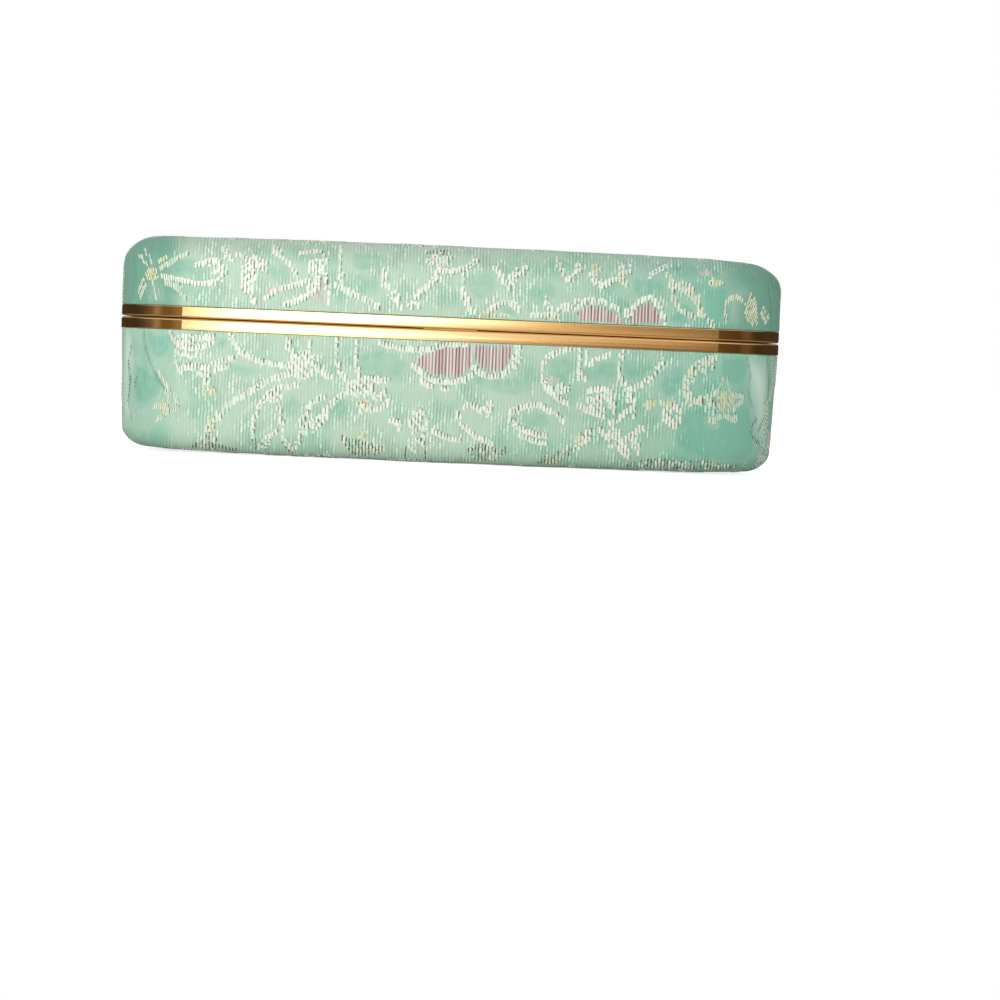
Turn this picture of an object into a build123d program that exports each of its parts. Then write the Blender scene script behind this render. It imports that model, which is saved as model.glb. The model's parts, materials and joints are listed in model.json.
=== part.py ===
"""A small brocade keepsake case: a base and a shallower lid, each a pressed steel pan padded with
wadding and covered in brocade, edged with a gilt frame and hinged along the back.

The origin is on the table under the middle of the case, with the front towards -Y and +Z up.
All sizes are in millimetres and all angles in degrees.
"""

from build123d import *
from collections import namedtuple
from math import atan2, degrees, sqrt, tan, radians
import os

# Outside of the case
case_width = 88.0  # over the gilt frames, left to right
case_depth = 31.0  # over the gilt frames, front to back
corner_radius = 8.6  # of the frames' upright corners, seen from above
base_height = 17.8  # from the table up to the parting plane
lid_height = 11.2  # from the parting plane up to the top
base_edge_radius = 3.4  # of the brocade's edge round the underside
lid_edge_radius = 4.6  # of the brocade's edge round the top
base_draft = 2.3  # lean of the base's walls
lid_draft = 0.6  # lean of the lid's walls

# Layers of a wall, from the outside in
brocade_thickness = 0.45
wadding_thickness = 0.6
shell_thickness = 0.5
glue_gap = 0.04  # between pieces that are glued or pressed together

# Gilt frames
parting_gap = 0.12  # between the closed frames
outer_leg_thickness = 0.5
outer_leg_height = 0.35  # above the frame's solid bar
inner_leg_thickness = 0.45
inner_leg_height = 1.3  # above the frame's solid bar
bar_web = 0.25  # metal left in the bar over the hinge barrel
parting_round = 0.3  # rounding of a frame's outside edge at the parting
leg_round = 0.12  # rounding of a frame's outside edge at the brocade

# Hinge, sunk into the back of both frames
knuckle_radius = 0.85
knuckle_count = 5
hinge_length = 44.0
knuckle_gap = 0.12  # between neighbouring knuckles
hinge_edge = 0.1  # from the barrel to the frames' back face
braze_gap = 0.02  # round a knuckle in the frame that carries it
swing_gap = 0.1  # round a knuckle in the other frame
pin_radius = 0.4
pin_clearance = 0.03
pin_head = 0.3  # how far the pin passes the last knuckle
stop_ledge = 0.27  # height of the frame's back face that is left beside the stop bevel

# Lining
collar_gap = 0.3  # from the frames' inside face to the collars
collar_thickness = 0.8
velvet_thickness = 0.35
collar_proud = 1.0  # how far the base's collar stands above the parting plane
lid_collar_room = 0.4  # from that collar's top to the lid's collar
base_foam_thickness = 1.0
lid_foam_thickness = 1.3
board_thickness = 0.8

# Mirror in the lid
tape_thickness = 0.4
tape_margin = 3.0  # from the mirror's edge to the tape's
mirror_thickness = 1.1
bezel_thickness = 0.35
bezel_lap = 0.9  # how far the bezel covers the mirror
bezel_clearance = 0.3  # from the bezel to the velvet around it

# Snap catch at the front
catch_width = 7.0
catch_thickness = 0.3
catch_drop = 2.1  # how far the tongue reaches below the parting plane
catch_round = 0.7  # corners at the tongue's top
catch_gap = 0.08  # from the tongue to the frames' inside face
nib_radius = 0.35
nib_length = 4.4
nib_clearance = 0.1
nib_cover = 0.2  # of the tongue above the nib
notch_margin = 0.5  # round the tongue, in the collar
rivet_radius = 0.35
rivet_grip = 0.9  # how far a rivet goes into the frame
rivet_fit = 0.03
rivet_head_radius = 0.65
rivet_head_height = 0.2
rivet_spacing = 4.4

overrun = 1.0  # how far every cut passes the face that it opens

# Levels, measured from the parting plane into either half
bar_top = knuckle_radius + swing_gap + bar_web
frame_top = bar_top + outer_leg_height
leg_top = bar_top + inner_leg_height
cover_start = frame_top + glue_gap

# Insets, measured inwards from the frames' outside face
skirt_inset = outer_leg_thickness + glue_gap
shell_inset = skirt_inset + brocade_thickness + glue_gap
inner_leg_inset = shell_inset + shell_thickness + glue_gap
frame_inset = inner_leg_inset + inner_leg_thickness
collar_inset = frame_inset + collar_gap
collar_velvet_inset = collar_inset + collar_thickness + glue_gap
well_inset = collar_velvet_inset + velvet_thickness

# Depths, measured inwards from the brocade's outside
wadding_depth = brocade_thickness + glue_gap
shell_depth = wadding_depth + wadding_thickness + glue_gap
lining_depth = shell_depth + shell_thickness + glue_gap
brocade_proud = shell_depth - shell_inset  # how far the brocade stands out past the frames

# Hinge axis, and the bevel behind it on which the open lid comes to rest
axis_inset = knuckle_radius + hinge_edge
axis_y = case_depth / 2 - axis_inset
bevel_angle = degrees(atan2(frame_top - stop_ledge, axis_inset))
cell_length = hinge_length / knuckle_count

# Catch, in the row frame
front_y = frame_inset - case_depth / 2  # inside face of the frames' front
catch_y = front_y + catch_gap  # outside face of the tongue
nib_level = bar_top / 2
rivet_level = bar_top / 2

Half = namedtuple("Half", "plane height draft edge_radius side")
parting = (0, 0, base_height)
base = Half(Plane(parting, (1, 0, 0), (0, 0, -1)), base_height, base_draft, base_edge_radius, -1)
lid = Half(Plane(parting, (1, 0, 0), (0, 0, 1)), lid_height, lid_draft, lid_edge_radius, 1)


def outline(inset, mode=Mode.ADD):
    """The case's rounded rectangle, the inset inside the frames' outside face."""
    return RectangleRounded(case_width - 2 * inset, case_depth - 2 * inset, corner_radius - inset, mode=mode)


def level_faces(part, half):
    """A part's level faces, in groups from the parting plane outwards."""
    return part.faces().filter_by(Axis.Z).group_by(Axis(half.plane.origin, half.plane.z_dir))


def slab(half, inset, start, end):
    """An upright block with the outline at the inset, between two levels."""
    with BuildPart() as block:
        with BuildSketch(half.plane.offset(start)):
            outline(inset)
        extrude(amount=end - start)
    return block.part


def ring(half, outer, inner, start, end):
    """An upright ring between two insets and two levels."""
    with BuildPart() as block:
        add(slab(half, outer, start, end))
        add(slab(half, inner, start - overrun, end + overrun), mode=Mode.SUBTRACT)
    return block.part


def pan(half, inset, start, end, edge_radius=0):
    """A block that leans in by the half's draft past the frame, with its far edge rounded."""
    with BuildPart() as block:
        with BuildSketch(half.plane.offset(cover_start)):
            outline(inset)
        extrude(amount=end - cover_start, taper=half.draft)
        if edge_radius > 0:
            fillet(level_faces(block, half)[-1].edges(), radius=edge_radius)
        if start < cover_start:
            add(slab(half, inset, start, cover_start))
        else:
            split(bisect_by=half.plane.offset(start), keep=Keep.TOP)
    return block.part


def layer(half, depth, start):
    """A pan that lies a depth inside the brocade's outside, from a level on."""
    return pan(half, depth - brocade_proud, start, half.height - depth, half.edge_radius - depth)


def shell_reach(half, depth):
    """How far inside the frames' outside face the steel pan's inside lies, at a depth."""
    shell_radius = half.edge_radius - shell_depth - shell_thickness
    drop = shell_radius - (depth - shell_depth - shell_thickness)
    rounding = shell_radius - sqrt(shell_radius**2 - drop**2) if drop > 0 else 0
    leaned = (half.height - depth - cover_start) * tan(radians(half.draft))
    return shell_inset + shell_thickness + leaned + rounding


def cylinder_along_x(radius, y, z, start, end):
    """A round bar along X between two stations."""
    with BuildPart() as bar:
        with BuildSketch(Plane.YZ.offset(start)):
            with Locations((y, z)):
                Circle(radius)
        extrude(amount=end - start)
    return bar.part


def brocade_cover(half):
    """The brocade over the wadding, and its turned-in skirt, gripped by the gilt frame."""
    turn_end = cover_start + brocade_thickness
    skirt_inner = skirt_inset + brocade_thickness
    with BuildPart() as cover:
        add(layer(half, 0, cover_start))
        add(layer(half, brocade_thickness, turn_end), mode=Mode.SUBTRACT)
        add(slab(half, skirt_inner, cover_start - overrun, turn_end + overrun), mode=Mode.SUBTRACT)
        add(ring(half, skirt_inset, skirt_inner, bar_top + glue_gap, turn_end))
    return cover.part


def wadding_layer(half):
    """The thin wadding that pads the steel pan."""
    start = cover_start + wadding_depth
    with BuildPart() as wadding:
        add(layer(half, wadding_depth, start))
        add(layer(half, wadding_depth + wadding_thickness, start - overrun), mode=Mode.SUBTRACT)
    return wadding.part


def steel_pan(half):
    """The pressed steel pan, its rim standing in the frame's groove."""
    start = bar_top + glue_gap
    with BuildPart() as shell:
        add(layer(half, shell_depth, start))
        add(layer(half, shell_depth + shell_thickness, start - overrun), mode=Mode.SUBTRACT)
    return shell.part


def knuckle_cells(half):
    """The stations along X of each knuckle that this half's frame carries."""
    first = 0 if half.side < 0 else 1
    return [index * cell_length - hinge_length / 2 for index in range(first, knuckle_count, 2)]


def stop_bevel(half):
    """The wedge cut away behind the hinge axis, so that the frames meet when the lid is open."""
    reach = axis_inset + overrun
    rise = half.side * reach * tan(radians(bevel_angle))
    with BuildPart() as wedge:
        with BuildSketch(Plane.YZ.offset(-case_width / 2)):
            with BuildLine():
                corner = (axis_y, base_height)
                Polyline(corner, (axis_y + reach, base_height), (axis_y + reach, base_height + rise), close=True)
            make_face()
        extrude(amount=case_width)
    return wedge.part


def gilt_frame(half):
    """A frame of solid bar with two legs that grip the pan and the brocade, sunk for the hinge."""
    start = parting_gap / 2
    room = hinge_length / 2 + pin_head + knuckle_gap
    with BuildPart() as frame:
        add(ring(half, 0, frame_inset, start, bar_top))
        add(ring(half, 0, outer_leg_thickness, start, frame_top))
        add(ring(half, inner_leg_inset, frame_inset, start, leg_top))
        parting_face = level_faces(frame, half)[0][0]
        fillet(parting_face.outer_wire().edges(), radius=parting_round)
        outer_leg_end = level_faces(frame, half)[2][0]
        fillet(outer_leg_end.outer_wire().edges(), radius=leg_round)
        add(stop_bevel(half), mode=Mode.SUBTRACT)
        add(cylinder_along_x(pin_radius + swing_gap, axis_y, base_height, -room, room), mode=Mode.SUBTRACT)
        for carrier in (base, lid):
            gap = braze_gap if carrier is half else swing_gap
            for station in knuckle_cells(carrier):
                sunk = cylinder_along_x(knuckle_radius + gap, axis_y, base_height, station, station + cell_length)
                add(sunk, mode=Mode.SUBTRACT)
    return frame.part


def knuckles(half):
    """The hinge tubes brazed into one frame."""
    with BuildPart() as tubes:
        for station in knuckle_cells(half):
            with BuildSketch(Plane.YZ.offset(station + knuckle_gap / 2)) as section:
                with Locations((axis_y, base_height)):
                    Circle(knuckle_radius)
                    Circle(pin_radius + pin_clearance, mode=Mode.SUBTRACT)
            extrude(section.sketch, amount=cell_length - knuckle_gap)
    return tubes.part


def collar_end(half, foam_thickness):
    """The level of the lining board's near face, on which the collar stands."""
    return half.height - lining_depth - foam_thickness - glue_gap - board_thickness


def foam_sheet(half, foam_thickness):
    """The foam under the lining board, on the steel pan's flat bottom."""
    end = half.height - lining_depth
    return slab(half, shell_reach(half, lining_depth) + glue_gap, end - foam_thickness, end)


def lining_board(half, foam_thickness):
    """The card that lies on the foam and fills the pan from wall to wall."""
    depth = lining_depth + foam_thickness + glue_gap
    start = half.height - depth - board_thickness
    return slab(half, shell_reach(half, depth) + glue_gap, start, half.height - depth)


def catch_notch():
    """The gap in the base's collar for the catch."""
    half_width = catch_width / 2 + notch_margin
    depth = well_inset + overrun
    height = collar_proud + catch_drop + notch_margin + overrun
    with BuildPart() as notch:
        with BuildSketch(Plane.XY.offset(base_height - catch_drop - notch_margin)):
            with Locations((0, depth / 2 - case_depth / 2)):
                Rectangle(2 * half_width, depth)
        extrude(amount=height)
    return notch.part


# The base

with BuildPart() as base_brocade:
    add(brocade_cover(base))

with BuildPart() as base_wadding:
    add(wadding_layer(base))

with BuildPart() as base_shell:
    add(steel_pan(base))

with BuildPart() as base_floor_foam:
    add(foam_sheet(base, base_foam_thickness))

with BuildPart() as base_floor_board:
    add(lining_board(base, base_foam_thickness))

base_board_level = collar_end(base, base_foam_thickness)
base_lean = (base_board_level - cover_start) * tan(radians(base_draft))

with BuildPart() as base_collar:
    add(pan(base, collar_inset, velvet_thickness + glue_gap - collar_proud, base_board_level - glue_gap))
    add(
        pan(base, collar_inset + collar_thickness, -collar_proud - overrun, base_board_level + overrun),
        mode=Mode.SUBTRACT,
    )
    add(catch_notch(), mode=Mode.SUBTRACT)

with BuildPart() as base_collar_velvet:
    add(pan(base, collar_velvet_inset, -collar_proud, base_board_level - glue_gap))
    add(ring(base, collar_inset, collar_velvet_inset, -collar_proud, velvet_thickness - collar_proud))
    add(pan(base, well_inset, -collar_proud - overrun, base_board_level + overrun), mode=Mode.SUBTRACT)
    add(catch_notch(), mode=Mode.SUBTRACT)

with BuildPart() as base_floor_velvet:
    velvet_end = base_board_level - glue_gap
    add(slab(base, well_inset + base_lean + glue_gap, velvet_end - velvet_thickness, velvet_end))

with BuildPart() as base_frame:
    add(gilt_frame(base))
    with BuildSketch(Plane.XZ.offset(-front_y)):
        with Locations((0, base_height - rivet_level)):
            with GridLocations(rivet_spacing, 0, 2, 1):
                Circle(rivet_radius + rivet_fit)
    extrude(amount=rivet_grip + rivet_fit, mode=Mode.SUBTRACT)

with BuildPart() as base_knuckles:
    add(knuckles(base))

with BuildPart() as hinge_pin:
    add(cylinder_along_x(pin_radius, axis_y, base_height, -hinge_length / 2 - pin_head, hinge_length / 2 + pin_head))

with BuildPart() as catch_spring:
    tongue_height = catch_drop + nib_level + nib_radius + nib_cover
    with BuildSketch(Plane.XZ.offset(-catch_y)):
        with Locations((0, base_height - catch_drop + tongue_height / 2)):
            tongue = Rectangle(catch_width, tongue_height)
        fillet(tongue.vertices().group_by(Axis.Y)[-1], radius=catch_round)
        with Locations((0, base_height - rivet_level)):
            with GridLocations(rivet_spacing, 0, 2, 1):
                Circle(rivet_radius + rivet_fit, mode=Mode.SUBTRACT)
    extrude(amount=-catch_thickness)
    nib_z = base_height + nib_level
    add(cylinder_along_x(nib_radius, catch_y, nib_z, -nib_length / 2, nib_length / 2))
    with BuildSketch(Plane.XZ.offset(-catch_y - catch_thickness)):
        with Locations((0, nib_z)):
            Rectangle(nib_length + overrun, 2 * nib_radius + overrun)
    extrude(amount=-overrun, mode=Mode.SUBTRACT)

with BuildPart() as catch_rivets:
    head_y = catch_y + catch_thickness + rivet_fit
    with BuildSketch(Plane.XZ.offset(-head_y)):
        with Locations((0, base_height - rivet_level)):
            with GridLocations(rivet_spacing, 0, 2, 1):
                Circle(rivet_head_radius)
    extrude(amount=-rivet_head_height)
    with BuildSketch(Plane.XZ.offset(-head_y)):
        with Locations((0, base_height - rivet_level)):
            with GridLocations(rivet_spacing, 0, 2, 1):
                Circle(rivet_radius)
    extrude(amount=head_y - front_y + rivet_grip)

# The lid

with BuildPart() as lid_brocade:
    add(brocade_cover(lid))

with BuildPart() as lid_wadding:
    add(wadding_layer(lid))

with BuildPart() as lid_shell:
    add(steel_pan(lid))

with BuildPart() as lid_foam:
    add(foam_sheet(lid, lid_foam_thickness))

with BuildPart() as lid_board:
    add(lining_board(lid, lid_foam_thickness))

lid_board_level = collar_end(lid, lid_foam_thickness)
lid_collar_start = collar_proud + lid_collar_room

with BuildPart() as lid_collar:
    add(pan(lid, collar_inset, lid_collar_start + velvet_thickness + glue_gap, lid_board_level - glue_gap))
    add(
        pan(lid, collar_inset + collar_thickness, lid_collar_start - overrun, lid_board_level + overrun),
        mode=Mode.SUBTRACT,
    )

with BuildPart() as lid_collar_velvet:
    add(pan(lid, collar_velvet_inset, lid_collar_start, lid_board_level - glue_gap))
    add(ring(lid, collar_inset, collar_velvet_inset, lid_collar_start, lid_collar_start + velvet_thickness))
    add(pan(lid, well_inset, lid_collar_start - overrun, lid_board_level + overrun), mode=Mode.SUBTRACT)

lid_lean = (lid_board_level - cover_start) * tan(radians(lid_draft))
bezel_inset = well_inset + lid_lean + bezel_clearance
mirror_inset = bezel_inset + bezel_thickness + glue_gap
mirror_back = lid_board_level - glue_gap - tape_thickness - glue_gap
mirror_face = mirror_back - mirror_thickness

with BuildPart() as mirror_tape:
    tape_start = mirror_back + glue_gap
    add(slab(lid, mirror_inset + tape_margin, tape_start, tape_start + tape_thickness))

with BuildPart() as mirror_glass:
    add(slab(lid, mirror_inset, mirror_face, mirror_back))

with BuildPart() as mirror_bezel:
    bezel_face = mirror_face - glue_gap - bezel_thickness
    add(ring(lid, bezel_inset, mirror_inset + bezel_lap, bezel_face, bezel_face + bezel_thickness))
    add(ring(lid, bezel_inset, bezel_inset + bezel_thickness, bezel_face, lid_board_level - glue_gap))

with BuildPart() as lid_frame:
    add(gilt_frame(lid))
    nib_room = nib_radius + nib_clearance
    nib_end = nib_length / 2 + nib_clearance
    add(cylinder_along_x(nib_room, catch_y, base_height + nib_level, -nib_end, nib_end), mode=Mode.SUBTRACT)

with BuildPart() as lid_knuckles:
    add(knuckles(lid))

pieces = {
    "base_brocade": base_brocade,
    "base_wadding": base_wadding,
    "base_shell": base_shell,
    "base_floor_foam": base_floor_foam,
    "base_floor_board": base_floor_board,
    "base_floor_velvet": base_floor_velvet,
    "base_collar": base_collar,
    "base_collar_velvet": base_collar_velvet,
    "base_frame": base_frame,
    "base_knuckles": base_knuckles,
    "hinge_pin": hinge_pin,
    "catch_spring": catch_spring,
    "catch_rivets": catch_rivets,
    "lid_brocade": lid_brocade,
    "lid_wadding": lid_wadding,
    "lid_shell": lid_shell,
    "lid_foam": lid_foam,
    "lid_board": lid_board,
    "lid_collar": lid_collar,
    "lid_collar_velvet": lid_collar_velvet,
    "mirror_tape": mirror_tape,
    "mirror_glass": mirror_glass,
    "mirror_bezel": mirror_bezel,
    "lid_frame": lid_frame,
    "lid_knuckles": lid_knuckles,
}

os.makedirs("parts", exist_ok=True)
for name, piece in pieces.items():
    piece.part.label = name
    export_step(piece.part, f"parts/{name}.step")

print("brocade stands out past the frames by", round(brocade_proud, 3))
print("the lid stops at", round(2 * bevel_angle, 1), "degrees")
print("well: inset", round(well_inset + base_lean, 2), "floor", round(base_height - velvet_end + velvet_thickness, 2))
print("lid hollow: inset", round(bezel_inset, 2), "ceiling", round(base_height + bezel_face, 2))
print("hinge axis at y", round(axis_y, 3))
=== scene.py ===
"""A small keepsake case covered in mint brocade, with gilt frames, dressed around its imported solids.

Lengths in the names below are in millimetres; the frame and every mesh are in metres.
"""

import json
import math

import bpy
import numpy as np
from mathutils import Matrix, Vector


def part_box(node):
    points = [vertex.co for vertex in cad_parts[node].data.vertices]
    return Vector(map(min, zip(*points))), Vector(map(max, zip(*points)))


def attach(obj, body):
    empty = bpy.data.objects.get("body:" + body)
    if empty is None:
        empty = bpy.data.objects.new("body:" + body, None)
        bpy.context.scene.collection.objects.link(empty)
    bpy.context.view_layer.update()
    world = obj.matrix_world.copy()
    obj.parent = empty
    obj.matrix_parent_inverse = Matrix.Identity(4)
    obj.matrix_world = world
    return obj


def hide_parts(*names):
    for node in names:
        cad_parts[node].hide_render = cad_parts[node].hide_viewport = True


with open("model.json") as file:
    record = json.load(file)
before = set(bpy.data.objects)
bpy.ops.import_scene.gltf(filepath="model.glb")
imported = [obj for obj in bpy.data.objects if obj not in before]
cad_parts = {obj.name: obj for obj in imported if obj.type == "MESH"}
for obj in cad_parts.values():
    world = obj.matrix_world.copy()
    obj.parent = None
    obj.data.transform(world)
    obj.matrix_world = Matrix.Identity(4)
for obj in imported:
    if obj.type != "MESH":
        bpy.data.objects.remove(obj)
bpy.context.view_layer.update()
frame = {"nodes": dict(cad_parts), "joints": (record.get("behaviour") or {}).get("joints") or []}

MM = 0.001
scene = bpy.context.scene
random = np.random.default_rng(26)

# Sizes that the solids share, in millimetres
parting = frame["joints"][0]["pos_m"][2] / MM
corner_radius = 8.6  # of the gilt frames, seen from above
frame_top = 1.55  # of a frame, from the parting plane
frame_leg = 0.5  # thickness of the frame's outside leg
groove_floor = 1.24  # of the groove behind that leg, from the parting plane
glue_gap = 0.04
shell_depth = 1.13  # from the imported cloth's outside to the steel pan
cloth_thickness = 0.35
edge_radii = {"lid": 4.6, "base": 3.4}
drafts = {"lid": math.radians(0.6), "base": math.radians(2.3)}
sides = {"lid": 1, "base": -1}

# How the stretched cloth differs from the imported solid
proud = {"lid": 0.02, "base": -0.10}  # past the frames' outside face
crowns = {"lid": 0.4, "base": 0.34}  # swell of the padded face from its ends to its middle
slumps = {"lid": (0.02, 0.24), "base": (0.25, 0.2)}  # how far that face drops at its left and right ends
slump_start = 33  # from the middle to where that drop begins
slump_span = 8  # over which it grows to the full
sag = 0.07  # of the whole face, and again towards its front and back
face_edge = 4.0  # height over which crown, slump and sag fade out down the wall
wall_swell = 0.03
ripple_height = 0.015
pleat_lean = 0.012  # share of the corner's turn by which a pleat drifts in a millimetre of its length
pleat_width = 0.045  # as a share of the corner's turn
crease_depth = 0.17
crease_width = 0.22

high = {name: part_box(f"{name}_brocade")[1] / MM for name in sides}
low = {name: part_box(f"{name}_brocade")[0] / MM for name in sides}
packed_proud = high["lid"].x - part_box("lid_frame")[1].x / MM
half_width = high["lid"].x - packed_proud
half_depth = high["lid"].y - packed_proud
heights = {"lid": high["lid"].z - parting, "base": parting - low["base"].z}
core_x = half_width - corner_radius
core_y = half_depth - corner_radius


# Camera and light

PHOTO_PIXELS = 1000
PHOTO_CENTRE = (449.5, 354.5)  # of the case, in the photograph's pixels
PHOTO_TURN = math.radians(2.47)  # the case leans clockwise in the picture
PIXEL = 0.1320  # millimetres of the case's front in one pixel of the photograph
LENS = 150.0
SENSOR = 36.0
distance = PIXEL * PHOTO_PIXELS * LENS / SENSOR
eye = Vector((0, -(half_depth + distance), (heights["lid"] - heights["base"]) / 2 + parting))


def make_camera():
    """Level with the middle of the case and square to its front, then aimed past it as framed."""
    data = bpy.data.cameras.new("camera")
    data.lens = LENS
    data.sensor_width = SENSOR
    camera = bpy.data.objects.new("camera", data)
    scene.collection.objects.link(camera)
    camera.location = eye * MM
    aside = [(place - PHOTO_PIXELS / 2) * PIXEL / distance for place in PHOTO_CENTRE]
    turn = Matrix.Rotation(PHOTO_TURN, 4, "Z")
    aim = Matrix.Rotation(math.atan(aside[0]), 4, "Y") @ Matrix.Rotation(math.atan(aside[1]), 4, "X")
    camera.matrix_world = (
        Matrix.Translation(camera.location) @ Matrix.Rotation(math.pi / 2, 4, "X") @ turn @ aim
    )
    scene.camera = camera


def linear(colour, strength=1.0):
    """An sRGB hex colour at a strength, as linear red, green, blue and alpha."""
    parts = np.array([int(colour[i : i + 2], 16) for i in (1, 3, 5)]) / 255
    light = np.where(parts <= 0.04045, parts / 12.92, ((parts + 0.055) / 1.055) ** 2.4)
    return (*(light * strength), 1.0)


def set_inputs(tree, node, inputs):
    """Sets a node's inputs to values, or links them to sockets or to the first sockets of nodes."""
    for name, value in inputs.items():
        if isinstance(value, bpy.types.Node):
            value = value.outputs[0]
        if isinstance(value, bpy.types.NodeSocket):
            tree.links.new(value, node.inputs[name])
        else:
            node.inputs[name].default_value = value


def add_node(tree, kind, inputs=None, **settings):
    """Adds a node with its properties and inputs."""
    node = tree.nodes.new(kind)
    for name, value in settings.items():
        setattr(node, name, value)
    set_inputs(tree, node, inputs or {})
    return node


def add_math(tree, operation, *values, clamp=False):
    """Arithmetic on up to three values or sockets."""
    inputs = dict(enumerate(values))
    return add_node(tree, "ShaderNodeMath", inputs, operation=operation, use_clamp=clamp)


def add_range(tree, value, start, end, low=0.0, high=1.0, kind="LINEAR"):
    """A value that goes from low to high while another goes from a start to an end."""
    inputs = {"Value": value, "From Min": start, "From Max": end, "To Min": low, "To Max": high}
    return add_node(tree, "ShaderNodeMapRange", inputs, interpolation_type=kind)


def add_step(tree, value, start, end, low=0.0, high=1.0):
    """The same with a soft start and end."""
    return add_range(tree, value, start, end, low, high, "SMOOTHSTEP")


def add_blend(tree, share, first, second):
    """A blend of two colours."""
    inputs = {"Factor": share, 6: first, 7: second}
    return add_node(tree, "ShaderNodeMix", inputs, data_type="RGBA").outputs[2]


def add_ramp(tree, factor, stops):
    """A colour ramp whose stops are a place, an sRGB hex colour and, where it isn't 1, its strength."""
    ramp = add_node(tree, "ShaderNodeValToRGB", {"Fac": factor})
    elements = ramp.color_ramp.elements
    while len(elements) < len(stops):
        elements.new(0.5)
    for element, (place, *colour) in zip(elements, stops):
        element.position = place
        element.color = linear(*colour)
    return ramp.outputs[0]


def add_noise(tree, place, scale, detail, roughness=0.5):
    """Noise over places, of a scale in waves to a unit."""
    inputs = {"Vector": place, "Scale": scale, "Detail": detail, "Roughness": roughness}
    return add_node(tree, "ShaderNodeTexNoise", inputs)


def add_bump(tree, height, strength, depth):
    """A skin in relief, of a depth in metres."""
    return add_node(tree, "ShaderNodeBump", {"Height": height, "Strength": strength, "Distance": depth})


def add_share(tree, name):
    """The value that the points of a mesh carry under a name."""
    return add_node(tree, "ShaderNodeAttribute", attribute_name=name).outputs["Fac"]


def new_material(name, colour="#FFFFFF", **settings):
    """A material with one Principled surface, whose sockets get the settings."""
    material = bpy.data.materials.new(name)
    material.use_nodes = True
    tree = material.node_tree
    surface = tree.nodes["Principled BSDF"]
    settings = {socket.replace("_", " "): value for socket, value in settings.items()}
    set_inputs(tree, surface, {"Base Color": linear(colour), **settings})
    return material, tree, surface


def softbox(name, place, target, size, energy):
    """A square lamp at a place, aimed at a target, in millimetres. Metal and glass don't show it."""
    data = bpy.data.lights.new(name, "AREA")
    data.shape = "SQUARE"
    data.size = size * MM
    data.energy = energy
    lamp = bpy.data.objects.new(name, data)
    scene.collection.objects.link(lamp)
    lamp.location = Vector(place) * MM
    lamp.rotation_euler = (Vector(target) - Vector(place)).to_track_quat("-Z", "Y").to_euler()
    lamp.visible_camera = False
    lamp.visible_glossy = False
    lamp.visible_transmission = False


AMBIENT = 0.44  # of the even light, as a share of white
BRIGHTEST = 6.0  # of what the metal shows, as a share of white
SCREEN_END = 40  # of the screen that the bands show, on each side of the case's middle

# What the bands show: place on the bands, colour and strength, in strips from low to high
LEFT_GLOW = ((-40, "#8F7A5E", 0.6), (-35, "#A08A66", 0.7), (-33.2, "#D0AE80", 0.8))
TABLE_STRIP = (
    *LEFT_GLOW, (-31, "#FFFFFF", 2.2), (-12, "#FFFFFF", 2.4), (0, "#FFFFFF", 0.9),
    (12, "#C9B194", 1.0), (22, "#93796A", 1.0), (40, "#84705E", 1.0),
)
LOW_STRIP = (
    *LEFT_GLOW, (-31, "#FFFFFF", 2.0), (-28, "#FFFFFF", 5.4), (-14, "#FFFFFF", 4.2),
    (0, "#FFFFFF", 1.05), (12, "#EBD3AE", 1.0), (22, "#D1B99A", 1.0), (40, "#B39A7C", 1.0),
)
HIGH_STRIP = (
    *LEFT_GLOW, (-30.4, "#FFFFFF", 2.0), (-27, "#FFFFFF", 5.8), (-2, "#FFFFFF", 3.6),
    (6, "#FFF4E0", 1.5), (13, "#E0D0B4", 1.0), (22, "#AD9B81", 1.0), (40, "#A08D74", 1.0),
)
TOP_STRIP = (
    *LEFT_GLOW, (-30.4, "#FFFFFF", 2.0), (-27, "#FFFFFF", 5.0), (-14, "#FFFFFF", 3.2),
    (2, "#FFFFFF", 1.15), (22, "#F7DABD", 0.8), (40, "#DDBE9C", 0.7),
)

# The upward shares of a ray between which a strip takes over from the one below
TAKEOVERS = ((LOW_STRIP, -0.10, -0.05), (HIGH_STRIP, -0.02, 0.02), (TOP_STRIP, 0.07, 0.10))

# What the frames' rounded corners show on each side: sideways share of the ray and colour
LEFT_SIDE = (
    (0.064, "#D8C4AA"), (0.16, "#9F855B"), (0.29, "#887558"), (0.42, "#766241"), (0.62, "#796241"),
    (0.77, "#A09182"), (0.87, "#77644B"), (0.93, "#68594E"), (1.0, "#483F37"),
)
RIGHT_SIDE = (
    (0.064, "#81755B"), (0.12, "#675330"), (0.4, "#5D4832"), (0.66, "#55432A"), (0.77, "#685744"),
    (0.88, "#685744"), (0.95, "#4E3D22"), (1.0, "#3B392F"),
)
SIDES_BEGIN = (0.0592, 0.0645)  # sideways shares between which they take over from the screen


def add_strip(tree, across, stops):
    """What the metal shows at one height of the screen, as a share of the brightest."""
    spread = 2 * SCREEN_END
    stops = [((place + SCREEN_END) / spread, colour, power / BRIGHTEST) for place, colour, power in stops]
    return add_ramp(tree, across, stops)


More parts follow.
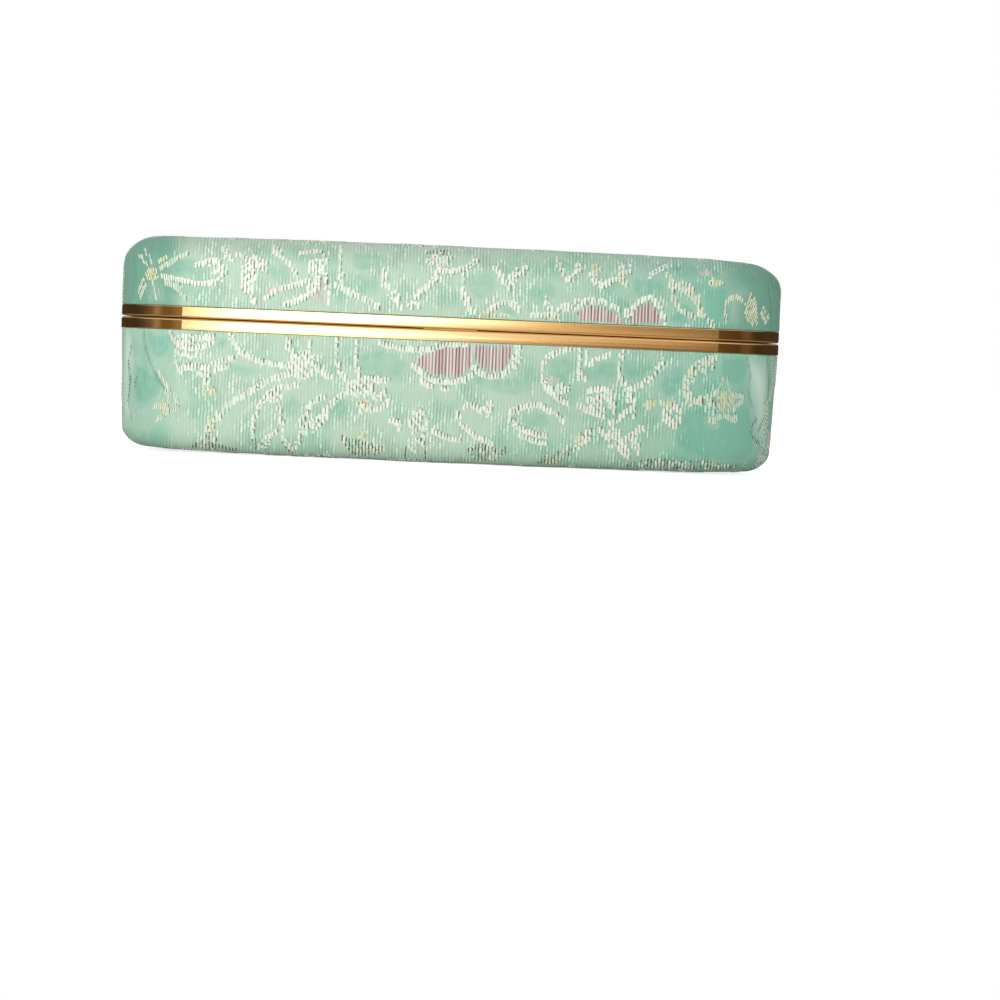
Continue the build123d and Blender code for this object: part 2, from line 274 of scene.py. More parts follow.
def metal_view(tree, sideways, backward, rise):
    """What polished metal shows of the studio, as a share of the brightest: a screen behind the lens,
    from white on the left to amber on the right, brown flags beside it, dusk behind the case and a white
    ceiling."""
    across = add_range(tree, sideways, -SCREEN_END / distance, SCREEN_END / distance)
    shown = add_strip(tree, across, TABLE_STRIP)
    for stops, start, end in TAKEOVERS:
        shown = add_blend(tree, add_step(tree, rise, start, end), shown, add_strip(tree, across, stops))
    aside = add_math(tree, "ABSOLUTE", sideways)
    left, right = (
        add_ramp(tree, aside, [(*stop, 1 / BRIGHTEST) for stop in stops]) for stops in (LEFT_SIDE, RIGHT_SIDE)
    )
    flags = add_blend(tree, add_math(tree, "GREATER_THAN", sideways, 0.0), left, right)
    shown = add_blend(tree, add_step(tree, aside, *SIDES_BEGIN), shown, flags)
    shown = add_blend(tree, add_step(tree, backward, 0.0, 0.1), shown, linear("#46392F", 1 / BRIGHTEST))
    return add_blend(tree, add_step(tree, rise, 0.5, 0.75), shown, linear("#FFFFFF", 1 / BRIGHTEST))


def light_studio():
    """An even light that falls off upwards and sideways, and lamps: a key light at the front left, and
    others for the right end, the top, the back and the left end. The camera sees plain white behind the
    case, and clear glass shows a pale room that is a little darker above."""
    world = bpy.data.worlds.new("studio")
    scene.world = world
    world.use_nodes = True
    tree = world.node_tree
    tree.nodes.clear()
    direction = add_node(tree, "ShaderNodeTexCoord")
    parts = add_node(tree, "ShaderNodeSeparateXYZ", {0: direction.outputs["Generated"]})
    sideways, backward, rise = (parts.outputs[axis] for axis in "XYZ")
    path = add_node(tree, "ShaderNodeLightPath")
    through = path.outputs["Is Transmission Ray"]
    # A ray that passes through clear glass counts as a glossy one too, so it is taken off
    mirrored = add_math(tree, "SUBTRACT", path.outputs["Is Glossy Ray"], through, clamp=True)
    colour = add_blend(tree, mirrored, linear("#FFFFFF"), metal_view(tree, sideways, backward, rise))
    even = add_step(tree, rise, 0.1, 0.8, AMBIENT, 0.45 * AMBIENT)
    flagged = add_step(tree, add_math(tree, "ABSOLUTE", sideways), 0.45, 0.95, 1.0, 0.45)
    even = add_math(tree, "MULTIPLY", even, flagged)
    metal = add_math(tree, "MULTIPLY", mirrored, BRIGHTEST)
    glass = add_math(tree, "MULTIPLY", through, add_step(tree, rise, -0.4, 0.5, 0.95, 0.55))
    strength = path.outputs["Is Camera Ray"]
    for part in (even, metal, glass):
        strength = add_math(tree, "MAXIMUM", part, strength)
    back = add_node(tree, "ShaderNodeBackground", {"Color": colour, "Strength": strength})
    add_node(tree, "ShaderNodeOutputWorld", {"Surface": back})

    softbox("key", (-70, -200, 60), (-6, -15, 14), 130, 0.27)
    softbox("right", (240, -60, 16), (0, 0, 6), 120, 0.16)
    softbox("top", (20, 200, 300), (0, 0, 14), 260, 0.38)
    softbox("back", (-60, 420, 60), (0, 0, 14), 300, 0.4)
    softbox("left", (-300, 220, 60), (0, 0, 14), 200, 0.4)


def lay_sweep():
    """The white sweep that the case stands on, lifted to full white where the camera sees it."""
    reach = 3000
    corners = ((-reach, -reach, 0), (reach, -reach, 0), (reach, reach, 0), (-reach, reach, 0))
    material, tree, surface = new_material("matt_white_sweep", "#F4F4F2", Roughness=0.9)
    lift = add_math(tree, "MULTIPLY", add_node(tree, "ShaderNodeLightPath").outputs["Is Camera Ray"], 0.8)
    set_inputs(tree, surface, {"Emission Color": linear("#FFFFFF"), "Emission Strength": lift})
    mesh = bpy.data.meshes.new("floor")
    mesh.from_pydata([Vector(corner) * MM for corner in corners], [], [(0, 1, 2, 3)])
    mesh.materials.append(material)
    floor = bpy.data.objects.new("floor", mesh)
    scene.collection.objects.link(floor)
    floor.visible_glossy = False


make_camera()
light_studio()
lay_sweep()
scene.view_settings.view_transform = "Standard"


# How the flat cloth lies on a half of the case

def smooth(t):
    """The smooth step from 0 to 1."""
    t = np.clip(t, 0, 1)
    return t * t * (3 - 2 * t)


def wall_profile(name):
    """The cloth's section from the core's edge outwards: a flat top, a round edge, a leaning wall, a
    small roll over the frame's leg and a skirt into the groove. Returns the run along the cloth, the
    reach out from the core and the level above the parting plane."""
    height, edge, lean = heights[name], edge_radii[name], math.tan(drafts[name])
    reach_at_frame = corner_radius + packed_proud
    cover_start = frame_top + glue_gap
    roll = 0.25
    edge_level = height - edge
    edge_reach = reach_at_frame - (edge_level - cover_start) * lean - edge
    turn = np.linspace(math.pi / 2, 0, 60)
    wall_level = np.linspace(edge_level, cover_start + roll, 120)
    wall_reach = edge_reach + edge + (edge_level - wall_level) * lean
    roll_turn = np.linspace(0, -math.pi / 2, 20)
    skirt_reach = corner_radius - frame_leg - glue_gap - 0.02
    reach = np.concatenate([
        np.linspace(0, edge_reach, 40), edge_reach + edge * np.cos(turn), wall_reach,
        reach_at_frame - roll + roll * np.cos(roll_turn), [skirt_reach, skirt_reach],
    ])
    level = np.concatenate([
        np.full(40, height), edge_level + edge * np.sin(turn), wall_level,
        cover_start + roll + roll * np.sin(roll_turn), [cover_start - 0.01, groove_floor],
    ])
    keep = np.hypot(np.diff(reach, prepend=-1), np.diff(level, prepend=0)) > 1e-6
    reach, level = reach[keep], level[keep]
    run = np.concatenate([[0], np.cumsum(np.hypot(np.diff(reach), np.diff(level)))])
    return run, reach, level


profiles = {name: wall_profile(name) for name in sides}
wall_ends = {name: profiles[name][0][-3] for name in sides}  # run at which the cloth reaches the frame


def smooth_line(points, spacing=0.05):
    """A Catmull-Rom curve through the points, sampled at an even spacing."""
    points = np.array(points, float)
    ends = np.concatenate([2 * points[:1] - points[1:2], points, 2 * points[-1:] - points[-2:-1]])
    pieces = []
    for a, b, c, d in zip(ends[:-3], ends[1:-2], ends[2:-1], ends[3:]):
        t = np.linspace(0, 1, max(3, int(np.hypot(*(c - b)) / spacing)), endpoint=False)[:, None]
        pieces.append(
            0.5 * (2 * b + (c - a) * t + (2 * a - 5 * b + 4 * c - d) * t**2 + (3 * b - a - 3 * c + d) * t**3)
        )
    return np.concatenate([*pieces, points[-1:]])


FARTHEST_ASIDE = 0.985  # share of a corner's reach past which a place no longer counts as the front's


def front_to_cloth(name, outline):
    """The flat cloth's places, across and along, of a line that is given as seen on the front."""
    x, z = np.array(outline).T
    run_table, reach_table, level_table = profiles[name]
    level = np.clip(np.abs(z - parting), level_table[-3], level_table[0])
    run = np.interp(level, level_table[::-1], run_table[::-1])
    reach = np.interp(run, run_table, reach_table)
    over = np.maximum(np.abs(x) - core_x, 0)
    aside = np.clip(over / reach, 0, FARTHEST_ASIDE)
    u = np.where(over > 0, np.sign(x) * (core_x + run * aside), x)
    v = -(core_y + run * np.sqrt(1 - aside**2))
    return u, v


# Creases at the corners, as millimetres right of the middle and above the table
CREASES = {
    "base": (
        ((-40.7, 16.2), (-40.3, 13.6), (-39.3, 11.2), (-37.8, 8.8), (-36.4, 7.2)),
        ((-42.3, 14.4), (-42.7, 11.8), (-42.3, 9.4), (-42.6, 6.8), (-42.0, 4.2)),
        ((39.5, 15.9), (40.0, 13.6), (39.9, 11.4), (40.6, 9.2)),
    ),
    "lid": (((-42.6, 26.0), (-42.2, 23.4), (-42.4, 21.0)), ((42.0, 25.4), (42.5, 22.6), (42.4, 20.4))),
}


def close_to(u, v, line_u, line_v, margin):
    """Whether points lie in the upright rectangle round a line, widened by a margin."""
    close = (u > line_u.min() - margin) & (u < line_u.max() + margin)
    return close & (v > line_v.min() - margin) & (v < line_v.max() + margin)


def crease_share(name, u, v):
    """How deep in a crease points of the cloth lie, from 0 to 1."""
    near = np.full(np.shape(u), 9.0)
    for crease in CREASES[name]:
        line_u, line_v = front_to_cloth(name, smooth_line(crease, 0.25))
        close = close_to(u, v, line_u, line_v, 1)
        away = np.hypot(u[close][:, None] - line_u, v[close][:, None] - line_v).min(axis=1)
        near[close] = np.minimum(near[close], away)
    return np.exp(-((near / crease_width) ** 2))


# Patches of the deeper green between the figures, as millimetres right of the middle and above the table
PATCHES = {
    "base": (
        ((-39.9, 15.9), (-36.9, 15.6), (-36.9, 13.9), (-38.0, 12.5), (-39.3, 13.1)),
        ((-32.0, 15.3), (-29.5, 15.6), (-29.5, 14.3), (-31.0, 13.6), (-32.2, 14.2)),
        ((-41.4, 11.7), (-38.2, 10.4), (-37.9, 8.9), (-39.2, 6.5), (-41.1, 6.5), (-41.8, 9.1)),
        ((-29.0, 12.2), (-26.8, 11.8), (-24.6, 11.4), (-26.6, 10.4), (-28.8, 10.6)),
        ((-12.0, 14.1), (-9.4, 14.9), (-6.2, 13.9), (-5.2, 12.6), (-6.4, 11.0), (-9.9, 10.6), (-12.0, 11.8)),
        ((-14.0, 9.0), (-12.8, 7.2), (-13.6, 5.8), (-15.4, 6.4)),
        ((-20.9, 8.6), (-19.4, 7.4), (-20.2, 5.2), (-21.4, 6.2)),
        ((3.4, 12.2), (7.8, 11.8), (9.6, 13.6), (11.6, 13.2), (11.8, 11.0), (8.6, 9.6), (4.0, 10.6)),
        ((12.6, 14.2), (15.6, 14.8), (16.4, 12.6), (15.2, 10.8), (13.4, 11.2)),
        ((17.8, 14.0), (21.8, 14.4), (22.0, 12.0), (20.0, 11.4), (18.2, 12.0)),
        ((23.2, 14.8), (27.2, 14.2), (26.0, 12.8), (24.0, 12.0), (23.0, 13.0)),
        ((28.6, 13.2), (31.0, 14.4), (30.6, 11.2), (29.2, 10.2), (28.0, 11.4)),
        ((9.6, 7.2), (12.6, 7.4), (13.6, 6.0), (12.0, 5.2), (9.9, 5.8)),
        ((30.4, 8.6), (33.6, 8.4), (34.6, 6.4), (37.6, 6.6), (40.2, 4.4), (37.4, 2.0), (32.2, 2.6),
         (30.0, 5.2)),
        ((36.0, 15.6), (38.8, 15.8), (39.4, 13.6), (37.8, 12.2), (36.2, 13.4)),
        ((36.4, 8.2), (39.6, 9.4), (40.4, 6.4), (40.8, 3.4), (38.0, 2.0), (36.0, 4.4)),
    ),
    "lid": (
        ((-37.9, 23.0), (-36.0, 22.8), (-33.8, 22.0), (-35.2, 20.6), (-37.2, 21.0)),
        ((-43.4, 20.0), (-43.4, 25.6), (-42.0, 26.8), (-40.4, 25.4), (-40.6, 22.8), (-41.2, 20.0)),
        ((-37.0, 25.0), (-34.6, 25.8), (-32.8, 24.6), (-33.6, 23.4), (-36.2, 23.6)),
        ((-24.2, 25.0), (-22.2, 25.5), (-21.4, 24.2), (-22.8, 23.0), (-24.0, 23.6)),
        ((-13.4, 27.4), (-9.2, 27.4), (-9.6, 25.6), (-12.6, 25.0)),
        ((-13.6, 24.6), (-10.2, 24.4), (-9.8, 22.2), (-12.2, 22.2)),
        ((2.2, 25.0), (4.8, 25.6), (5.8, 23.4), (3.6, 21.8), (2.4, 22.8)),
        ((5.2, 20.2), (7.2, 21.2), (8.6, 20.0)),
        ((9.4, 23.4), (13.0, 24.4), (13.4, 22.6), (10.8, 21.6)),
        ((23.6, 25.4), (27.2, 25.6), (27.8, 23.9), (24.6, 23.4)),
        ((29.2, 21.4), (30.6, 22.6), (31.8, 21.6), (31.4, 20.0), (29.2, 20.0)),
        ((33.4, 24.4), (36.0, 24.8), (36.0, 21.8), (34.4, 20.4), (33.2, 22.0)),
        ((37.2, 25.0), (41.4, 26.2), (42.6, 22.4), (41.8, 20.2), (40.6, 23.0), (38.0, 23.6)),
    ),
}


def patch_share(u, v, patches, soft):
    """How far points of the cloth lie inside outlines on it, from 0 to 1, over a soft edge."""
    share = np.zeros(np.shape(u))
    for outline in patches:
        line_u, line_v = smooth_line([*outline, outline[0]], 0.3).T
        close = close_to(u, v, line_u, line_v, soft)
        if not close.any():
            continue
        point_u, point_v = u[close][:, None], v[close][:, None]
        next_u, next_v = np.roll(line_u, -1), np.roll(line_v, -1)
        crossed = (line_v <= point_v) != (next_v <= point_v)
        steepness = np.where(next_v == line_v, 1e-9, next_v - line_v)
        beyond = point_u < line_u + (point_v - line_v) / steepness * (next_u - line_u)
        inside = (crossed & beyond).sum(axis=1) % 2 == 1
        away = np.hypot(point_u - line_u, point_v - line_v).min(axis=1)
        signed = np.where(inside, away, -away)
        share[close] = np.maximum(share[close], smooth(signed / soft + 0.35))
    return share


# Painted highlights at the ends, where the cloth is stretched smooth and would take the light: its colour is
# lightened there
PAINTED_HIGHLIGHTS = {
    "base": (
        ((39.6, 15.8), (40.0, 12.6), (40.6, 9.4), (41.2, 6.0), (42.4, 5.0), (42.7, 9.6), (42.4, 13.4),
         (41.6, 15.8)),
        ((-42.3, 15.6), (-42.0, 12.0), (-42.4, 8.4), (-42.0, 4.6), (-43.2, 5.0), (-43.4, 12.0),
         (-43.2, 15.6)),
    ),
    "lid": (
        ((36.9, 20.6), (36.8, 23.4), (37.8, 24.6), (39.0, 24.2), (38.0, 23.2), (37.6, 20.6)),
        ((-39.8, 20.4), (-39.4, 22.2), (-38.6, 21.2), (-38.4, 20.2)),
    ),
}

# The deeper green at the ends and towards the right, and the darkening of the lid's corners, are painted
# shade: the satin there turns from the light, and the light falls off to the right.
END_PAINTED_DEPTHS = {"lid": 0.9, "base": 0.38}  # share of the deeper green at the ends
END_SHADES = {"lid": 0.52, "base": 0.0}  # how far the lid's corners lie in shade
RIGHT_PAINTED_DEPTH = 0.55  # share of the deeper green at the far right
MIDDLE_TAUT = 0.3  # on the middle of the ends, as a share of the corners'


def end_shares(name, u, v):
    """How taut, how deep in colour and how darkened by painted shade points of the cloth are, each from 0 to
    1.
    The cloth is taut round the upright corners, less so on the middle of the ends. Its green is painted
    deeper there, as shade where the satin turns from the light, and deepens slowly from the middle to the
    right as painted shade of the light falling off."""
    at_corner = smooth((np.abs(v) - core_y + 3) / 5)
    taut = smooth((np.abs(u) - core_x + 1.5) / 5.5) * (MIDDLE_TAUT + (1 - MIDDLE_TAUT) * at_corner)
    turned = RIGHT_PAINTED_DEPTH * smooth((u - 2) / 34)
    deep = 1 - (1 - END_PAINTED_DEPTHS[name] * taut) * (1 - turned)
    return taut, deep, END_SHADES[name] * taut


# Pleats at the upright corners: turn from the front or back as a share, rise and length
PLEATS = ((0.27, 0.05, 5.0), (0.42, 0.05, 3.5), (0.56, 0.08, 7.0), (0.74, 0.07, 4.5), (0.88, 0.05, 3.0))


def relief(name, u, v, run, turn_share):
    """How far the cloth stands out from its even shape: a swell between the edge and the frame, slow
    ripples, creases, and pleats that rise towards the frame at the corners."""
    last = wall_ends[name]
    swell = wall_swell * np.sin(np.pi * np.clip((run - 3) / (last - 3), 0, 1)) ** 2
    ripple = ripple_height * (np.sin(u * 0.37 + v * 0.21) + np.sin(u * 0.83 - v * 0.47 + 1.3) * 0.6)
    ripple = ripple * smooth((last - run) / 1.5) * smooth(run / 6)
    folds = np.zeros_like(run)
    corner = (turn_share > 0) & (turn_share < 1)
    lean = np.where(u * v > 0, 1.0, -1.0)
    for share, rise, length in PLEATS:
        away = (turn_share - share + pleat_lean * lean * (last - run)) / pleat_width
        shape = np.exp(-np.abs(away) ** 1.6) - 0.8 * np.exp(-(((away - 1.7) / 0.8) ** 2))
        folds += rise * shape * smooth((run - (last - length)) / length)
    folds = np.where(corner, folds, 0)
    folds = folds - crease_depth * crease_share(name, u, v)
    return swell + ripple + folds * smooth((last + 0.2 - run) / 0.5)


def drape(name, u, v, lift=0.0, packed=False):
    """Where points of the flat cloth, in millimetres from its middle, lie on a half of the case, in
    metres. Over the core the cloth lies flat. Past it a point keeps its direction from the core, and
    its distance runs along the profile, so the cloth crowds together round the corners. A packed one
    has the even shape of the solids, a stretched one its swells, creases and pleats too."""
    run_table, reach_table, level_table = profiles[name]
    over_x, over_y = np.maximum(np.abs(u) - core_x, 0), np.maximum(np.abs(v) - core_y, 0)
    run = np.hypot(over_x, over_y)
    safe = np.maximum(run, 1e-9)
    out_x, out_y = np.sign(u) * over_x / safe, np.sign(v) * over_y / safe
    turn_share = np.arctan2(over_x, over_y) / (math.pi / 2)
    reach = np.interp(run, run_table, reach_table)
    level = np.interp(run, run_table, level_table)
    step = 0.06
    back, ahead = np.maximum(run - step, 0), run + step
    slope_reach = np.interp(ahead, run_table, reach_table) - np.interp(back, run_table, reach_table)
    slope_level = np.interp(ahead, run_table, level_table) - np.interp(back, run_table, level_table)
    length = np.maximum(np.hypot(slope_reach, slope_level), 1e-9)
    tilt_out, tilt_up = -slope_level / length, slope_reach / length
    tilt_out, tilt_up = np.where(run > 0, tilt_out, 0), np.where(run > 0, tilt_up, 1)
    if not packed:
        lift = lift + relief(name, u, v, run, turn_share)
        reach = reach + tilt_out * (proud[name] - packed_proud) * smooth((wall_ends[name] + 0.3 - run) / 0.3)
    reach = reach + tilt_out * lift
    level = level + tilt_up * lift
    x = np.clip(u, -core_x, core_x) + out_x * reach
    y = np.clip(v, -core_y, core_y) + out_y * reach
    if not packed:
        slump = np.where(x < 0, *slumps[name])
        fall = crowns[name] * (np.abs(x) / half_width) ** 2
        fall = fall + slump * smooth((np.abs(x) - slump_start) / slump_span)
        fall = fall + sag + sag * (np.abs(y) / half_depth) ** 2
        level = level - fall * smooth((level - heights[name] + face_edge) / face_edge)
    z = parting + sides[name] * level
    return np.stack([x, y, z], axis=-1) * MM


def grid_faces(rows, columns):
    """The four-cornered faces of a grid of points, row by row."""
    index = np.arange(rows * columns).reshape(rows, columns)
    corners = [index[:-1, :-1], index[1:, :-1], index[1:, 1:], index[:-1, 1:]]
    return np.stack(corners, axis=-1).reshape(-1, 4)


def new_mesh(name, points, faces, material, attributes=None, uv=None):
    """An object from its points in metres and its four-cornered faces, with point attributes and a UV
    map. Points that share a place are joined, and faces that this closes up are dropped."""
    points = np.asarray(points, float)
    keys = np.round(points / MM, 4)
    if uv is not None:
        keys = np.concatenate([keys, np.round(uv, 3)], axis=1)
    _, first, index = np.unique(keys, axis=0, return_index=True, return_inverse=True)
    faces = index.ravel()[faces]
    own = faces != np.roll(faces, 1, axis=1)
    counts = own.sum(axis=1)
    quads = faces[counts == 4]
    triangles = faces[counts == 3][own[counts == 3]].reshape(-1, 3)
    corners = np.concatenate([quads.ravel(), triangles.ravel()]).astype(np.int32)
    sizes = np.concatenate([np.full(len(quads), 4), np.full(len(triangles), 3)])
    mesh = bpy.data.meshes.new(name)
    mesh.vertices.add(len(first))
    mesh.vertices.foreach_set("co", points[first].astype(np.float32).ravel())
    mesh.loops.add(len(corners))
    mesh.loops.foreach_set("vertex_index", corners)
    mesh.polygons.add(len(sizes))
    starts = np.concatenate([[0], np.cumsum(sizes)[:-1]])
    mesh.polygons.foreach_set("loop_start", starts.astype(np.int32))
    mesh.polygons.foreach_set("use_smooth", np.full(len(sizes), True))
    mesh.update(calc_edges=True)
    if uv is not None:
        layer = mesh.uv_layers.new(name="cloth")
        layer.data.foreach_set("uv", np.asarray(uv, np.float32)[first][corners].ravel())
    for key, values in (attributes or {}).items():
        layer = mesh.attributes.new(key, "FLOAT", "POINT")
        layer.data.foreach_set("value", np.asarray(values, np.float32)[first])
    mesh.materials.append(material)
    made = bpy.data.objects.new(name, mesh)
    scene.collection.objects.link(made)
    return made


def outward(name, faces):
    """The faces turned so that they look outwards from a half of the case."""
    return faces if sides[name] > 0 else faces[:, ::-1]


EDGE_ROWS = 8  # of the cloth's grid round the edge of the face, and again next to the frame
FRAME_BAND = 0.7  # of the wall next to the frame, where the rows lie closer
ROW = 0.34  # from row to row between them


def cloth_grid(name, last, step=0.55, corner_steps=44):
    """The flat cloth's points and faces: a grid over the core, and rings that go round it from the
    core's edge to the last run. Returns also the last ring's points, as indices."""
    across = np.linspace(-core_x, core_x, round(2 * core_x / step) + 1)
    deep = np.linspace(-core_y, core_y, round(2 * core_y / step) + 1)
    sides_of_core = (
        (across, -core_y, -90), (core_x, deep, 0), (across[::-1], core_y, 90), (-core_x, deep[::-1], 180),
    )
    starts, directions = [], []
    for u, v, angle in sides_of_core:
        side = np.column_stack(np.broadcast_arrays(u, v))
        turns = math.radians(angle) + np.linspace(0, math.pi / 2, corner_steps + 1)[1:-1]
        angles = np.concatenate([np.full(len(side), math.radians(angle)), turns])
        starts.append(np.concatenate([side, np.tile(side[-1], (corner_steps - 1, 1))]))
        directions.append(np.column_stack([np.cos(angles), np.sin(angles)]))
    starts = np.concatenate([*starts, starts[0][:1]])
    directions = np.concatenate([*directions, directions[0][:1]])
    edge = edge_radii[name] * 0.9
    wall_end = min(wall_ends[name], last)
    band = wall_end - FRAME_BAND
    runs = np.concatenate([
        np.linspace(0, edge, EDGE_ROWS + 1)[:-1],
        np.linspace(edge, band, round((band - edge) / ROW))[:-1],
        np.linspace(band, wall_end, EDGE_ROWS + 1),
        profiles[name][0][-2:] if last > wall_end else [],
    ])
    rings = starts[None] + directions[None] * runs[:, None, None]
    core = np.stack(np.meshgrid(across, deep, indexing="ij"), -1).reshape(-1, 2)
    flat = np.concatenate([core, rings.reshape(-1, 2)])
    around = grid_faces(len(runs), len(starts)) + len(core)
    faces = np.concatenate([grid_faces(len(across), len(deep)), around])
    return flat, faces, np.arange(len(flat) - len(starts), len(flat))


# Materials

RIB = 0.44  # pitch of the cloth's ribs
RIB_SHIFT = 0.382  # of a thread's length, from one rib to the next
THREADS = 0.95  # short pale threads to a millimetre of rib


def silk_brocade():
    """Silk satin brocade, woven: fine ribs, a little paler on their backs and clearer in some places than
    in others, with short pale threads along them. The points' own shares say where the green is deeper, which
    at the ends and towards the right is painted shade, where the cloth is stretched so that its ribs fade,
    where a painted highlight lightens it, and where painted shade darkens it in creases and on the lid's
    corners."""
    material, tree, surface = new_material(
        "silk_satin_brocade", Roughness=0.5, Specular_IOR_Level=0.3, Sheen_Weight=0.08, Sheen_Roughness=0.4
    )
    patch, taut, deeper, painted_highlight, crease = (
        add_share(tree, name) for name in ("patch", "taut", "deep", "painted_highlight", "crease")
    )
    uv = add_node(tree, "ShaderNodeUVMap", uv_map="cloth")
    parts = add_node(tree, "ShaderNodeSeparateXYZ", {0: uv})

    waver = add_math(tree, "MULTIPLY_ADD", add_noise(tree, uv, 0.35, 3.0, 0.6), 0.45, parts.outputs["X"])
    column = add_math(tree, "DIVIDE", waver, RIB)
    wave = add_math(tree, "COSINE", add_math(tree, "MULTIPLY", column, 2 * math.pi))
    rib = add_range(tree, wave, -1.0, 1.0)
    clear = add_step(tree, add_noise(tree, uv, 0.33, 2.5), 0.38, 0.62, low=0.1)
    clear = add_math(tree, "MULTIPLY_ADD", taut, -0.6, clear, clamp=True)
    clear = add_math(tree, "MULTIPLY_ADD", patch, -0.6, clear, clamp=True)

    nearest = add_math(tree, "ROUND", column)
    row = add_math(tree, "MULTIPLY", nearest, RIB_SHIFT)
    row = add_math(tree, "MULTIPLY_ADD", parts.outputs["Y"], THREADS, row)
    cell = add_node(tree, "ShaderNodeCombineXYZ", {"X": nearest, "Y": add_math(tree, "FLOOR", row)})
    thread = add_node(tree, "ShaderNodeTexWhiteNoise", {"Vector": cell}, noise_dimensions="2D")
    thread = add_math(tree, "POWER", thread, 2.2)
    tip = add_step(tree, add_math(tree, "PINGPONG", row, 0.5), 0.0, 0.16)
    thread = add_math(tree, "MULTIPLY", thread, tip)

    lit = add_math(tree, "MULTIPLY", add_math(tree, "MULTIPLY_ADD", thread, 0.75, 0.28), rib)
    tone = add_math(tree, "MULTIPLY_ADD", add_math(tree, "ADD", lit, -0.22), clear, 0.3)
    pale = add_ramp(tree, tone, ((0.0, "#96B79C"), (0.3, "#C3DCC7"), (0.55, "#DCEFDD"), (1.0, "#FAFFF8")))
    deep = add_ramp(tree, tone, ((0.0, "#66A38C"), (0.3, "#86C2AB"), (0.55, "#A9D8C3"), (1.0, "#DDF6E8")))
    drift = add_step(tree, add_noise(tree, uv, 0.16, 1.5), 0.48, 0.7, high=0.35)
    worn = add_range(tree, add_noise(tree, uv, 0.8, 3.0), 0.3, 0.7, 0.2, 0.6)
    # The deep share is painted shade at the ends and towards the right; the drift is the cloth's own uneven
    # tone
    share = add_math(tree, "ADD", drift, deeper, clamp=True)
    share = add_math(tree, "ADD", add_math(tree, "MULTIPLY", patch, worn), share, clamp=True)
    colour = add_blend(tree, share, pale, deep)
    # Painted highlight: lightened towards a pale mint where the stretched satin at the ends would catch the
    # light
    colour = add_blend(tree, painted_highlight, colour, linear("#DFF6E6"))
    # Painted shade: darkened towards a grey green in the creases and on the lid's corners
    colour = add_blend(tree, add_math(tree, "MULTIPLY", crease, 0.5), colour, linear("#566A5C"))
    height = add_math(tree, "MULTIPLY_ADD", thread, 0.6, rib)
    set_inputs(tree, surface, {"Base Color": colour, "Normal": add_bump(tree, height, 0.35, 0.06 * MM)})
    return material


def thread_material(name, stops, **settings):
    """Floating thread, dyed by each float's own tone between the stops."""
    material, tree, surface = new_material(name, **settings)
    set_inputs(tree, surface, {"Base Color": add_ramp(tree, add_share(tree, "tone"), stops)})
    return material


# The brocade's figures on the front, read off as millimetres right of the middle and above the table

